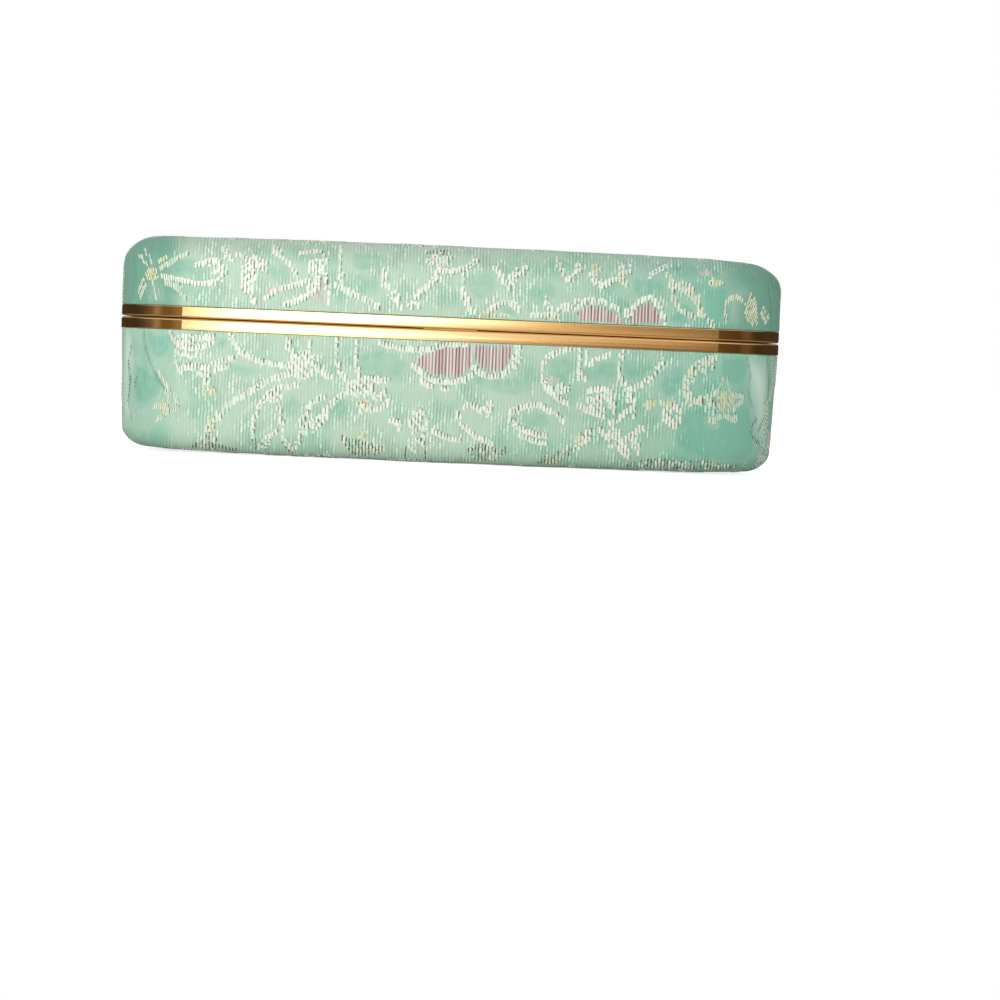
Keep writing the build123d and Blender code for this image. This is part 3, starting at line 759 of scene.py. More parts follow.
BASE_STEMS = (
    ((-37.0, 16.0), (-36.0, 14.3), (-34.0, 13.9), (-32.0, 14.2)),
    ((-36.3, 13.5), (-36.0, 12.0), (-35.4, 10.6)),
    ((-35.0, 11.2), (-33.3, 11.6), (-31.5, 11.2)),
    ((-32.2, 11.5), (-32.0, 9.8), (-31.6, 8.6)),
    ((-31.5, 11.5), (-30.5, 12.2), (-28.7, 12.8)),
    ((-30.0, 4.8), (-28.3, 7.0), (-26.5, 8.2), (-24.7, 9.4), (-22.8, 10.4), (-20.5, 11.2)),
    ((-33.5, 15.3), (-32.4, 15.2), (-31.3, 15.6)),
    ((-29.0, 15.8), (-28.4, 14.8), (-27.6, 13.6), (-26.0, 12.9), (-24.0, 12.3), (-21.5, 12.1), (-19.5, 12.0)),
    ((-38.3, 10.5), (-37.2, 9.0), (-36.6, 7.5), (-37.2, 6.2), (-38.8, 6.0)),
    ((-36.0, 7.5), (-35.6, 6.2), (-37.0, 5.3), (-38.2, 4.3)),
    ((-30.2, 5.5), (-30.8, 4.2), (-31.5, 3.2)),
    ((-25.3, 2.5), (-25.4, 4.5), (-25.0, 6.3), (-24.0, 7.8), (-22.8, 8.9), (-21.2, 9.3), (-20.0, 9.6)),
    ((-24.6, 1.0), (-23.6, 2.4), (-22.6, 3.3)),
    ((-22.4, 6.8), (-21.9, 5.2), (-21.6, 3.4), (-21.3, 2.2), (-20.3, 0.8)),
    ((-20.2, 0.8), (-19.4, 2.2), (-18.9, 3.8), (-17.3, 5.0), (-15.9, 6.6), (-14.6, 8.0), (-13.2, 8.9)),
    ((-19.6, 4.3), (-18.6, 6.0), (-17.8, 7.4), (-16.4, 8.2)),
    ((-21.4, 15.6), (-20.8, 14.0), (-20.0, 12.7)),
    ((-18.5, 15.2), (-18.8, 13.5), (-19.2, 12.4), (-19.6, 10.8)),
    ((-17.8, 12.6), (-16.6, 11.4), (-15.6, 10.8)),
    ((-15.0, 15.8), (-14.9, 13.5), (-14.4, 11.8), (-13.4, 10.4), (-12.6, 9.2)),
    ((-12.2, 15.6), (-12.5, 13.6), (-12.1, 12.0), (-11.6, 10.6), (-10.8, 9.4)),
    ((-11.0, 11.0), (-9.7, 10.8), (-8.5, 10.6), (-7.8, 11.2)),
    ((-11.3, 7.5), (-10.0, 6.7), (-8.5, 7.2), (-7.8, 8.0)),
    ((-10.0, 9.0), (-9.0, 8.2), (-8.4, 9.3)),
    ((-7.3, 5.5), (-6.2, 5.2)),
    ((-9.3, 15.6), (-7.0, 15.1), (-4.8, 14.9), (-2.6, 15.1), (-1.0, 15.7), (2.0, 15.9)),
    ((-4.7, 13.0), (-3.8, 12.0), (-2.5, 11.2), (-1.0, 10.9), (0.5, 10.9), (2.0, 11.2), (3.0, 12.0)),
    ((3.2, 13.0), (4.0, 12.2), (5.5, 11.8), (7.0, 12.1), (8.1, 13.2), (8.6, 14.6), (8.7, 15.9)),
    ((9.3, 15.9), (9.3, 14.6), (8.8, 13.3)),
    ((16.0, 15.9), (14.2, 15.4), (12.9, 14.6), (12.2, 13.0), (12.5, 11.5), (13.4, 10.2), (14.8, 9.2),
     (16.0, 8.6)),
    ((17.0, 15.8), (17.1, 14.2), (17.4, 12.8), (18.0, 12.0)),
    ((17.9, 15.5), (18.3, 14.0), (19.5, 14.8), (21.0, 15.4)),
    ((22.9, 15.8), (22.3, 14.3), (22.4, 12.9), (23.2, 11.4), (24.0, 10.2), (24.8, 9.0)),
    ((28.2, 15.0), (27.4, 13.6), (26.2, 12.2), (25.0, 11.4), (23.9, 10.8)),
    ((18.3, 10.4), (19.8, 10.9), (21.4, 10.5), (22.0, 9.4), (21.8, 8.3)),
    ((17.2, 8.5), (18.5, 8.0), (19.6, 7.5), (20.6, 7.2)),
    ((24.5, 8.4), (23.3, 7.6), (22.5, 6.8), (21.5, 6.3)),
    ((8.4, 7.2), (10.0, 8.0), (12.0, 8.3), (13.5, 7.6), (14.6, 6.9), (15.5, 6.3)),
    ((8.4, 6.4), (9.2, 5.4), (10.6, 4.8), (12.0, 4.4), (13.2, 4.3)),
    ((1.2, 7.2), (1.8, 5.8), (2.6, 4.8), (3.8, 3.9), (5.0, 3.4), (6.3, 2.8)),
    ((2.0, 7.6), (3.2, 8.0), (4.6, 7.2), (5.6, 8.4)),
    ((-1.7, 4.3), (-0.3, 3.7), (1.6, 3.2)),
    ((17.0, 3.2), (17.8, 4.2), (18.8, 5.2)),
    ((20.2, 5.6), (21.0, 4.6), (21.8, 3.3)),
    ((21.8, 6.0), (22.4, 4.8), (23.2, 3.6), (24.2, 2.6)),
    ((23.4, 4.0), (24.4, 4.8), (25.9, 6.0)),
    ((24.6, 4.6), (25.5, 3.3)),
    ((28.3, 9.3), (29.8, 9.2), (30.6, 8.5), (30.8, 7.4), (30.3, 6.3)),
    ((28.4, 8.3), (29.2, 7.2), (29.8, 6.2)),
    ((35.2, 15.6), (34.0, 15.4), (32.6, 14.4), (31.5, 13.0), (31.1, 11.6), (31.5, 10.4), (33.0, 9.6)),
    ((34.6, 15.2), (33.0, 13.9), (32.0, 12.6), (31.7, 11.4), (32.2, 10.2)),
    ((36.2, 12.9), (35.6, 11.2), (34.4, 10.2), (35.4, 8.8), (35.0, 7.2), (36.6, 8.0), (38.2, 7.4),
     (38.0, 9.0), (39.2, 10.4), (37.6, 11.0), (36.8, 12.9)),
)

# Strokes of dark thread, as painted shade: where the cloth turns under at the lower edge, and along the
# creases at the ends
SHADE_STEMS = (
    ((-25.4, 2.8), (-25.2, 1.5), (-24.8, 0.7)),
    ((-24.6, 0.7), (-24.0, 1.7), (-23.3, 2.6)),
    ((-21.5, 2.6), (-21.1, 1.5), (-20.4, 0.6)),
    ((-20.2, 0.6), (-19.8, 1.6), (-19.2, 2.6)),
    ((-33.4, 0.5), (-32.9, 1.0)),
    ((-29.8, 0.9), (-28.8, 0.6), (-27.6, 0.4)),
    ((-5.4, 1.8), (-5.2, 0.4)),
    ((-2.7, 1.8), (-2.6, 0.4)),
    ((7.4, 1.6), (8.0, 2.4)),
    ((17.0, 2.9), (18.2, 4.4)),
    ((41.2, 7.8), (40.5, 6.6), (40.8, 5.4), (41.7, 4.4)),
    ((42.0, 7.4), (41.5, 6.0)),
    ((42.4, 15.8), (42.7, 13.0), (42.8, 10.4)),
    ((-42.4, 14.0), (-42.7, 11.5), (-42.4, 9.0), (-42.6, 6.5)),
    ((-41.4, 9.8), (-41.6, 8.6)),
)

LID_STEMS = (
    ((-40.3, 24.2), (-41.0, 25.3), (-41.6, 26.0)),
    ((-39.8, 24.5), (-40.4, 26.0), (-40.9, 27.0)),
    ((-38.5, 24.3), (-37.4, 25.0), (-36.2, 25.8), (-35.0, 26.5)),
    ((-38.3, 23.2), (-36.6, 22.9), (-34.5, 22.5), (-32.5, 22.4), (-31.0, 22.8), (-30.2, 23.7), (-30.3, 24.8),
     (-31.3, 25.7), (-32.6, 25.3), (-33.8, 24.8)),
    ((-37.8, 22.4), (-36.5, 21.8), (-35.6, 20.9), (-35.0, 20.0)),
    ((-39.6, 22.3), (-39.3, 21.0), (-38.9, 20.2)),
    ((-40.6, 21.8), (-41.2, 20.4)),
    ((-30.4, 27.5), (-29.7, 26.4), (-29.0, 25.4)),
    ((-28.8, 26.6), (-27.6, 26.3), (-26.6, 25.6), (-25.4, 25.0), (-24.6, 24.5)),
    ((-27.8, 24.0), (-27.4, 22.5), (-26.6, 21.3), (-26.0, 20.2)),
    ((-23.9, 27.3), (-23.2, 26.8), (-22.2, 26.0), (-21.3, 25.2), (-20.6, 24.4)),
    ((-24.8, 20.8), (-23.6, 21.8), (-22.0, 22.4), (-20.5, 22.8), (-19.0, 23.4)),
    ((-21.8, 20.2), (-20.0, 20.9), (-18.9, 21.6), (-17.8, 22.4)),
    ((-20.2, 27.2), (-19.0, 27.3), (-18.0, 27.6), (-17.2, 26.8), (-16.7, 25.9)),
    ((-18.9, 25.8), (-18.3, 24.4), (-17.6, 23.0)),
    ((-16.7, 24.2), (-16.5, 22.0), (-16.4, 20.6)),
    ((-14.9, 27.8), (-14.8, 26.0), (-14.9, 24.5), (-14.6, 23.0)),
    ((-15.5, 23.0), (-14.3, 22.6), (-13.0, 21.8), (-11.7, 21.3), (-10.6, 20.8), (-9.6, 20.3)),
    ((-9.2, 25.3), (-8.8, 24.0), (-8.4, 22.7), (-7.6, 21.4), (-6.6, 20.4)),
    ((-5.2, 20.8), (-4.3, 22.4), (-3.2, 23.4), (-2.3, 24.6), (-1.9, 25.8)),
    ((-2.5, 26.6), (-1.4, 27.2), (-0.4, 27.4)),
    ((-1.8, 25.6), (-0.4, 25.4), (1.0, 25.8), (2.2, 26.4), (3.0, 27.2)),
    ((1.2, 25.0), (1.3, 23.6), (1.5, 22.2), (2.1, 21.0), (2.9, 20.2)),
    ((5.5, 26.2), (6.3, 25.3), (6.9, 24.3), (7.4, 23.4)),
    ((7.6, 24.0), (8.4, 25.0), (9.3, 26.0), (9.6, 26.8)),
    ((4.9, 20.4), (5.9, 21.2), (7.0, 21.7), (8.2, 21.4), (8.8, 20.6)),
    ((10.4, 20.0), (11.6, 20.2), (13.0, 20.4), (14.0, 20.0)),
    ((12.2, 22.5), (12.6, 21.6), (13.2, 20.9)),
    ((13.6, 27.3), (14.3, 26.3), (15.2, 25.0), (16.0, 25.6), (16.5, 26.4)),
    ((18.0, 26.2), (18.7, 25.2), (19.8, 24.4), (20.7, 25.1), (22.0, 25.4), (22.8, 24.8)),
    ((22.2, 26.2), (23.4, 26.6)),
    ((25.8, 26.0), (26.9, 26.8), (28.0, 27.6)),
    ((28.2, 26.4), (29.0, 25.2), (30.0, 24.5), (31.3, 23.9), (32.3, 22.8), (32.9, 21.5), (33.6, 20.6),
     (34.6, 19.8)),
    ((29.0, 24.4), (29.3, 23.0), (30.0, 22.0), (31.0, 21.3), (32.2, 20.7)),
    ((33.8, 25.0), (34.3, 25.8)),
    ((36.3, 20.2), (36.2, 21.6), (36.3, 23.0), (37.4, 23.7), (38.4, 23.3)),
    ((39.2, 23.4), (39.6, 22.0), (39.9, 20.3)),
    ((39.9, 23.6), (40.3, 22.0), (40.5, 20.4)),
    ((41.0, 21.8), (41.8, 20.6)),
    ((23.5, 21.3), (24.6, 22.4), (25.9, 23.1), (27.3, 22.2), (28.0, 20.6), (28.1, 19.9)),
)


def oval(x, z, half_x, half_z):
    """The outline of an oval round a place, as a closed line."""
    turns = np.linspace(0, 2 * math.pi, 24, endpoint=False)
    return np.stack([x + half_x * np.cos(turns), z + half_z * np.sin(turns)], axis=1)


# Filled figures of the front: the kind of thread and the outline
BASE_FILLS = (
    ("mauve", ((-4.5, 13.3), (-3.6, 14.2), (-2.2, 15.0), (-0.6, 15.7), (1.2, 16.1), (2.9, 16.1), (3.0, 14.2),
               (2.6, 12.5), (1.6, 11.7), (-0.4, 11.4), (-2.2, 11.7), (-3.6, 12.5))),
    ("mauve", ((3.3, 16.1), (3.4, 14.0), (4.2, 12.9), (5.6, 12.5), (7.0, 12.7), (7.9, 14.0), (8.1, 15.0),
               (8.2, 16.1))),
    ("blush", oval(-26.6, 12.9, 0.9, 0.5)),
    ("blush", oval(13.6, 11.7, 1.2, 0.6)),
    ("white", oval(-19.4, 12.2, 2.0, 1.9)),
    ("white", oval(-11.6, 9.6, 1.7, 1.4)),
    ("white", oval(-9.0, 10.8, 0.9, 0.6)),
    ("white", oval(-3.7, 5.2, 1.2, 2.1)),
    ("white", oval(-23.2, 8.0, 1.3, 1.0)),
    ("white", oval(20.2, 9.2, 1.8, 1.7)),
    ("white", oval(14.8, 10.6, 1.3, 0.9)),
    ("white", oval(-34.0, 11.4, 0.9, 0.6)),
    ("white", oval(29.6, 7.8, 1.3, 1.6)),
    ("white", oval(-34.9, 14.9, 1.6, 0.9)),
    ("white", oval(22.3, 5.0, 0.9, 0.9)),
    ("yellow", oval(-31.5, 8.3, 0.9, 0.8)),
    ("yellow", oval(-11.0, 7.4, 1.0, 0.7)),
    ("yellow", oval(26.8, 9.0, 0.9, 0.8)),
    ("yellow", oval(33.6, 9.8, 1.0, 0.7)),
    ("yellow", oval(17.8, 4.2, 0.9, 0.9)),
    ("yellow", oval(36.8, 9.9, 1.2, 1.6)),
    ("umber", oval(-36.0, 14.5, 0.7, 0.7)),
    ("umber", ((-32.6, 0.4), (-32.0, 2.0), (-31.3, 3.2), (-30.6, 2.2), (-30.1, 0.4))),
    ("yellow", ((-32.0, 2.9), (-31.6, 4.6), (-30.9, 4.6), (-30.7, 3.0))),
    ("umber", ((-14.2, 3.3), (-12.6, 2.9), (-10.6, 2.6), (-8.6, 2.2), (-7.8, 1.4), (-9.0, 0.7), (-11.0, 0.3),
               (-12.4, 0.6), (-13.3, 1.8))),
    ("yellow", ((-11.6, 2.8), (-11.2, 4.0), (-10.4, 4.0), (-10.2, 2.7))),
    ("umber", ((2.8, 2.0), (4.4, 3.0), (6.2, 2.6), (7.4, 1.3), (6.6, 0.5), (4.2, 0.4))),
    ("umber", ((12.0, 0.4), (13.0, 1.7), (14.8, 2.3), (16.4, 3.2), (17.1, 2.6), (15.8, 1.3), (14.4, 0.4))),
    ("umber", ((23.6, 0.5), (25.4, 1.5), (28.0, 1.9), (31.0, 1.5), (34.0, 1.9), (37.0, 1.3), (39.6, 0.9),
               (36.0, 0.5), (30.0, 0.3))),
    ("white", ((-5.3, 3.4), (-4.6, 1.0), (-3.2, 1.0), (-2.6, 3.4))),
)

LID_FILLS = (
    ("mauve", ((16.6, 20.6), (17.4, 21.6), (19.6, 21.8), (21.2, 21.2), (22.4, 20.2), (22.8, 19.4),
               (17.2, 19.4))),
    ("mauve", ((23.3, 19.4), (23.6, 20.7), (24.6, 21.9), (25.8, 22.5), (27.0, 21.7), (27.6, 20.4),
               (27.7, 19.4))),
    ("white", ((14.4, 21.7), (16.0, 22.6), (18.0, 22.9), (20.0, 22.7), (21.8, 22.0), (23.2, 20.9),
               (22.6, 20.6), (21.2, 21.5), (19.6, 22.0), (17.6, 21.8), (16.6, 20.9), (15.4, 21.0))),
    ("yellow", oval(-39.7, 23.4, 1.0, 0.9)),
    ("white", oval(-27.0, 23.4, 1.1, 2.2)),
    ("white", oval(-18.0, 25.2, 1.4, 1.3)),
    ("blush", oval(-17.4, 22.0, 1.5, 1.6)),
    ("blush", oval(-23.0, 21.9, 1.5, 0.5)),
    ("white", oval(-31.4, 24.6, 0.9, 1.0)),
    ("white", oval(-5.0, 20.7, 0.8, 0.7)),
    ("white", oval(-2.1, 26.7, 1.7, 0.6)),
    ("umber", oval(-2.1, 28.0, 1.9, 0.5)),
    ("yellow", oval(5.4, 20.0, 2.4, 0.4)),
    ("yellow", oval(12.2, 20.1, 1.8, 0.4)),
    ("white", oval(15.2, 21.5, 0.8, 0.7)),
    ("white", oval(23.2, 20.9, 0.6, 0.8)),
    ("yellow", oval(19.0, 26.6, 0.9, 0.9)),
    ("yellow", oval(22.5, 25.8, 0.8, 0.9)),
    ("white", oval(29.2, 25.0, 0.9, 0.8)),
    ("blush", oval(33.3, 26.9, 0.9, 0.6)),
    ("yellow", oval(34.8, 25.5, 0.9, 0.5)),
    ("yellow", oval(39.6, 22.0, 0.9, 1.7)),
    ("white", oval(-9.0, 23.8, 0.6, 1.1)),
    ("white", oval(33.0, 21.4, 0.8, 0.7)),
)


def leaf(x, y, turn, length, width):
    """The two sides and the rib of a pointed leaf whose stalk is at a place."""
    along = np.linspace(0, 1, 7)
    side = width / 2 * np.sin(np.pi * along**0.85)
    lines = [np.stack([along * length, side], 1), np.stack([along * length, -side], 1)]
    lines.append(np.stack([along[:5] * length, 0.06 * width * np.sin(3 * along[:5])], 1))
    rotation = np.array([[math.cos(turn), math.sin(turn)], [-math.sin(turn), math.cos(turn)]])
    return [line @ rotation + (x, y) for line in lines]


def blossom(x, y, turn, size):
    """The petal outlines of an open five-petalled flower round a place."""
    petals = []
    for index in range(5):
        around = turn + index * 2 * math.pi / 5
        turns = np.linspace(-1, 1, 9)
        reach = size * (0.35 + 0.65 * np.cos(turns * math.pi / 2) ** 0.6)
        angles = around + turns * math.pi / 5
        petals.append(np.stack([x + reach * np.cos(angles), y + reach * np.sin(angles)], axis=1))
    return petals


# The leaves of a spray: place of the stalk, turn, length and width
LEAVES = (
    (-2.6, -7.8, -0.3, 5.2, 2.6), (12.6, -1.4, -0.5, 4.6, 2.2), (7.4, 4.2, 2.2, 4.4, 2.0),
    (-10.2, 2.6, 1.9, 4.8, 2.3), (8.0, -6.6, 3.6, 4.4, 2.2), (-0.5, 1.6, 2.5, 4.6, 2.0),
)


def spray():
    """One repeat of the brocade's figures, as lines, fills and leaf outlines round (0, 0): a branch with
    leaves, an open flower with two mauve petals, a half-open one and loose tendrils."""
    lines = [
        ((-15, -6.5), (-11.5, -4.0), (-7.5, -3.4), (-3.4, -1.6), (-0.5, 1.6), (3.2, 3.6), (7.4, 4.2),
         (11.5, 6.4)),
        ((-7.5, -3.4), (-6.0, -6.2), (-2.6, -7.8)),
        ((3.2, 3.6), (4.8, 0.6), (8.2, -1.2), (12.6, -1.4)),
        ((-11.5, -4.0), (-12.0, -0.5), (-10.2, 2.6)),
        ((8.2, -1.2), (9.2, -4.2), (8.0, -6.6)),
        ((13.6, 0.8), (14.2, 2.6), (13.2, 4.2)),
    ]
    leaves = []
    for place in LEAVES:
        upper, lower, rib = leaf(*place)
        lines += [upper, lower, rib]
        leaves.append(np.concatenate([upper, lower[-2:0:-1]]))
    petals = blossom(-5.6, 6.4, 0.5, 3.1)
    buds = blossom(11.8, 8.4, 1.2, 1.9)
    fills = [("mauve", petals[0]), ("mauve", petals[2]), ("yellow", oval(-5.6, 6.4, 0.8, 0.8))]
    fills += [("white", oval(11.8, 8.4, 0.9, 0.8)), ("umber", oval(-12.6, -9.0, 1.0, 0.9))]
    fills += [("white", oval(2.2, -4.4, 0.9, 0.7)), ("yellow", oval(4.2, 8.4, 0.7, 0.8))]
    return lines + petals + buds, fills, leaves


REPEAT = np.array([31.0, 21.0])  # of the figures, across and along the cloth
REPEAT_START = (0.12, 0.18)  # of a repeat, from the cloth's middle
SPRAY_REACH = (16, 10)  # of a spray from its middle


def sprays(name):
    """The repeats of the spray over a half of the cloth, every second row shifted, and every second
    spray turned about."""
    lines, fills, leaves = spray()
    reach = np.array([core_x, core_y]) + wall_ends[name] + SPRAY_REACH
    for row in range(-2, 3):
        for column in range(-3, 4):
            centre = np.array([column + 0.5 * (row % 2) + REPEAT_START[0], row + REPEAT_START[1]]) * REPEAT
            if (np.abs(centre) > reach).any():
                continue
            flip = -1 if (row + column) % 2 else 1
            yield (
                [np.array(line) * flip + centre for line in lines],
                [(kind, np.array(outline) * flip + centre) for kind, outline in fills],
                [outline * flip + centre for outline in leaves],
            )


FLOAT_LENGTH = 0.74
LONGEST_FLOAT = 1.0
FLOAT_GAP = 0.05  # left at each end where a thread is cut into floats
SHORTEST_CUT = 0.3  # from a thread's end to its first cut
SHORTEST_FILL = 0.35  # stretch of a rib inside an outline that still gets a float


def cut_floats(column, lowest, highest, longest=LONGEST_FLOAT):
    """A stretch of thread along a rib, cut into floats, each rib's cuts at their own heights: rows of
    place across, middle and half length."""
    shift = column * RIB_SHIFT
    first = math.ceil((lowest + SHORTEST_CUT) / longest - shift)
    last = math.floor((highest - SHORTEST_CUT) / longest - shift)
    cuts = (np.arange(first, last + 1) + shift) * longest
    if highest - lowest <= longest:
        cuts = cuts[:0]
    edges = np.concatenate([[lowest], cuts, [highest]])
    half_lengths = np.diff(edges) / 2 - (FLOAT_GAP if len(cuts) else 0.0)
    return [(column * RIB, middle, half) for middle, half in zip((edges[:-1] + edges[1:]) / 2, half_lengths)]


def floats_along(u, v):
    """Floats that follow a line on the cloth: in each rib that it crosses they cover its stretch there."""
    column = np.round(u / RIB).astype(int)
    starts = np.concatenate([[0], np.flatnonzero(np.diff(column)) + 1, [len(column)]])
    made = []
    for a, b in zip(starts[:-1], starts[1:]):
        if b - a < 3 and 0 < a and b < len(column):
            continue
        made += cut_floats(column[a], v[a:b].min() - FLOAT_LENGTH / 2, v[a:b].max() + FLOAT_LENGTH / 2)
    return made


def floats_inside(u, v, half_step, longest):
    """Floats that fill a closed outline on the cloth, on its ribs or on the half steps between them."""
    shift = 0.5 if half_step else 0.0
    made = []
    next_u, next_v = np.roll(u, -1), np.roll(v, -1)
    for column in np.arange(math.ceil(u.min() / RIB - shift), math.floor(u.max() / RIB - shift) + 1) + shift:
        place = column * RIB
        crossing = (u <= place) != (next_u <= place)
        share = (place - u[crossing]) / (next_u - u)[crossing]
        levels = np.sort(v[crossing] + share * (next_v - v)[crossing])
        for lowest, highest in zip(levels[::2], levels[1::2]):
            if highest - lowest > SHORTEST_FILL:
                made += cut_floats(column, lowest, highest, longest)
    return made


FRONT_STARTS = {"lid": 0.75, "base": 1.2}  # of the read figures, in edge radii past the first 2 mm of run


def on_front(name, u, v):
    """Whether points of the cloth lie on the front wall, where the read figures are. They reach far
    round the corners, less far round the base's right one."""
    over_x, over_y = np.maximum(np.abs(u) - core_x, 0), np.maximum(-v - core_y, 0)
    run = np.hypot(over_x, over_y)
    start = edge_radii[name] * FRONT_STARTS[name] + 2.0
    turn = np.where((name == "base") & (u > 0), 1.3, 4.0)
    return (over_y > 0) & (run > start) & (over_x < turn * over_y)


BESIDE = 0.95  # from a line of floats to the second line of a thick stem

# Tones of the metal thread, from white to gold
WHITE = (0.0, 0.4)
DULL = (0.3, 0.8)
GREY_GREEN = (0.35, 0.58)
GOLD = (0.7, 1.0)

# How the fills are woven: thread, tones, share of its floats kept, whether on half steps, longest float
WEAVES = {
    "mauve": (("dyed", (0.55, 1.0), 1.0, False, 6.0), ("dyed", (0.0, 0.4), 1.0, True, 5.0)),
    "blush": (("dyed", (0.1, 0.5), 1.0, False, LONGEST_FLOAT),),
    "umber": (
        ("dark", (0.35, 1.0), 0.9, False, LONGEST_FLOAT), ("lame", (0.1, 0.8), 0.6, True, LONGEST_FLOAT),
    ),
    "white": (("lame", WHITE, 0.85, False, LONGEST_FLOAT),),
    "yellow": (("lame", GOLD, 0.85, False, LONGEST_FLOAT),),
}


def stem_tones(name, middle):
    """The tones of a stem whose middle lies at a place of the front: duller towards the ends."""
    if name == "base" and middle > 35:
        return GREY_GREEN
    return WHITE if -36 < middle < 30 else DULL


def gather_floats(name, stems, front_fills):
    """All floats of a half, as rows of place across, middle, half length and tone, by their thread."""
    threads = {"lame": [], "dyed": [], "dark": []}

    def add(kind, rows, tones, chance=1.0):
        """Adds floats to a thread, each with a tone of its own; some are left out by chance."""
        kept = random.random(len(rows)) < chance
        made = np.column_stack([np.array(rows), random.uniform(*tones, len(rows))])[kept] if rows else []
        threads[kind].extend(made)

    def add_line(u, v, thick, tones=WHITE):
        """Adds a line of metal thread. A thick one has a second line beside it, in stretches."""
        rows = floats_along(u, v)
        add("lame", rows, tones)
        if thick:
            stretch = np.sin(np.arange(len(rows)) * 0.35 + random.uniform(0, 6)) > -0.1
            beside = [(a, b + BESIDE, c * 0.9) for (a, b, c), keep in zip(rows, stretch) if keep]
            add("lame", beside, tones, 0.85)

    def add_fill(kind, u, v):
        """Adds the floats of a filled outline, woven by its kind."""
        for thread, tones, chance, half_step, longest in WEAVES[kind]:
            add(thread, floats_inside(u, v, half_step, longest), tones, chance)

    for index, stem in enumerate(stems):
        line = smooth_line(stem)
        tones = stem_tones(name, np.mean(line[:, 0]))
        add_line(*front_to_cloth(name, line), index % 2 == 0, tones)
    # Strokes of painted shade in dark thread, on the base only
    for stem in SHADE_STEMS if name == "base" else ():
        add("dark", floats_along(*front_to_cloth(name, smooth_line(stem))), (0.5, 1.0))
    for kind, outline in front_fills:
        add_fill(kind, *front_to_cloth(name, outline))
    front = {key: np.array(rows) for key, rows in threads.items()}
    threads = {key: [] for key in threads}
    for lines, fills, _ in sprays(name):
        for index, line in enumerate(lines):
            add_line(*smooth_line(line).T, index % 3 == 0)
        for kind, outline in fills:
            add_fill(kind, *outline.T)
    rest = {key: np.array(rows) for key, rows in threads.items()}
    rest = {key: rows[~on_front(name, rows[:, 0], rows[:, 1])] for key, rows in rest.items()}
    # Painted shade: the white floats round the front corners are made duller where they turn away from the
    # light
    corner = (np.abs(rest["lame"][:, 0]) > core_x) & (rest["lame"][:, 1] < -core_y)
    rest["lame"][corner, 3] = 0.5  # duller where they turn away
    return {key: np.concatenate([front[key], rest[key]]) for key in threads}


FRAME_MARGIN = 0.1  # that the floats keep from the frame
SHORTEST_HALF = 0.15  # half the length of the shortest float that is kept
UNEVEN = (0.04, 0.1, 0.12, 0.15, 0.2, 0.1)  # of the place across and along, length, width, rise and lean


def float_mesh(name, piece, rows, material, width, rise):
    """Raised floats on a half of the cloth, each a small pillow three points wide and four long. No two
    have quite the same place, length, width, rise and lean."""
    u, v, half_length, tone = rows.T
    uneven = random.uniform(-1, 1, (6, len(u))) * np.array(UNEVEN)[:, None]
    u, v, half_length = u + uneven[0], v + uneven[1], half_length * (1 + uneven[2])
    run = np.hypot(np.maximum(np.abs(u) - core_x, 0), np.maximum(np.abs(v) - core_y, 0))
    farthest = wall_ends[name] - FRAME_MARGIN
    past = np.maximum(run + half_length - farthest, 0) * (np.abs(v) > core_y)
    v, half_length = v - np.sign(v) * past / 2, half_length - past / 2
    inside = (run < farthest) & (half_length > SHORTEST_HALF)
    u, v, half_length, tone = (values[inside][:, None, None] for values in (u, v, half_length, tone))
    uneven = uneven[:, inside, None, None]
    width, rise = width * (1 + uneven[3]), rise * (1 + uneven[4])
    lean = uneven[5] * np.minimum(1, 0.5 / half_length)
    across = np.array([-1, 0, 1])[None, None, :]
    along = np.array([-1, -0.6, 0.6, 1])[None, :, None]
    narrow = np.array([0.45, 1, 1, 0.45])[None, :, None]
    arch = np.array([0.1, 1, 1, 0.1])[None, :, None] * np.array([0.1, 1, 0.1])[None, None, :]
    place_v = v + along * half_length + 0 * across
    place_u = u + across * narrow * width / 2 + lean * (place_v - v)
    points = drape(name, place_u, place_v, rise * arch)
    faces = grid_faces(4, 3)[None] + 12 * np.arange(len(u))[:, None, None]
    faces = outward(name, faces.reshape(-1, 4)[:, ::-1])
    tones = np.broadcast_to(tone, place_u.shape).ravel()
    uv = np.stack([place_u, place_v], axis=-1).reshape(-1, 2)
    return new_mesh(piece, points.reshape(-1, 3), faces, material, {"tone": tones}, uv)


brocade = silk_brocade()
lame = thread_material(
    "lame_thread_flat_metal_wrapped",
    ((0.0, "#FFFDF4"), (0.25, "#F8FBED"), (0.5, "#D2E8CF"), (0.7, "#EFF1D2"), (1.0, "#E2DDAA")),
    Roughness=0.4, Specular_IOR_Level=0.35,
)
dyed = thread_material(
    "dyed_silk_thread",
    ((0.0, "#F2EAE4"), (0.4, "#DAC6C0"), (0.7, "#AB8D90"), (1.0, "#8B6B71")), Roughness=0.5,
)
# Dark thread for the umber fills and the strokes of painted shade, and for the painted shadows beside the
# white floats
dark_and_shadow_thread = thread_material(
    "dark_thread_and_painted_shadow",
    ((0.0, "#9DB5A0"), (0.4, "#76897A"), (0.75, "#66594A"), (1.0, "#41362A")), Roughness=0.7,
)


def place_piece(piece, name, slot, *replaced):
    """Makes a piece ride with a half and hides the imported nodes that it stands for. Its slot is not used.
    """
    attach(piece, name)
    for node in replaced:
        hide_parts(node)


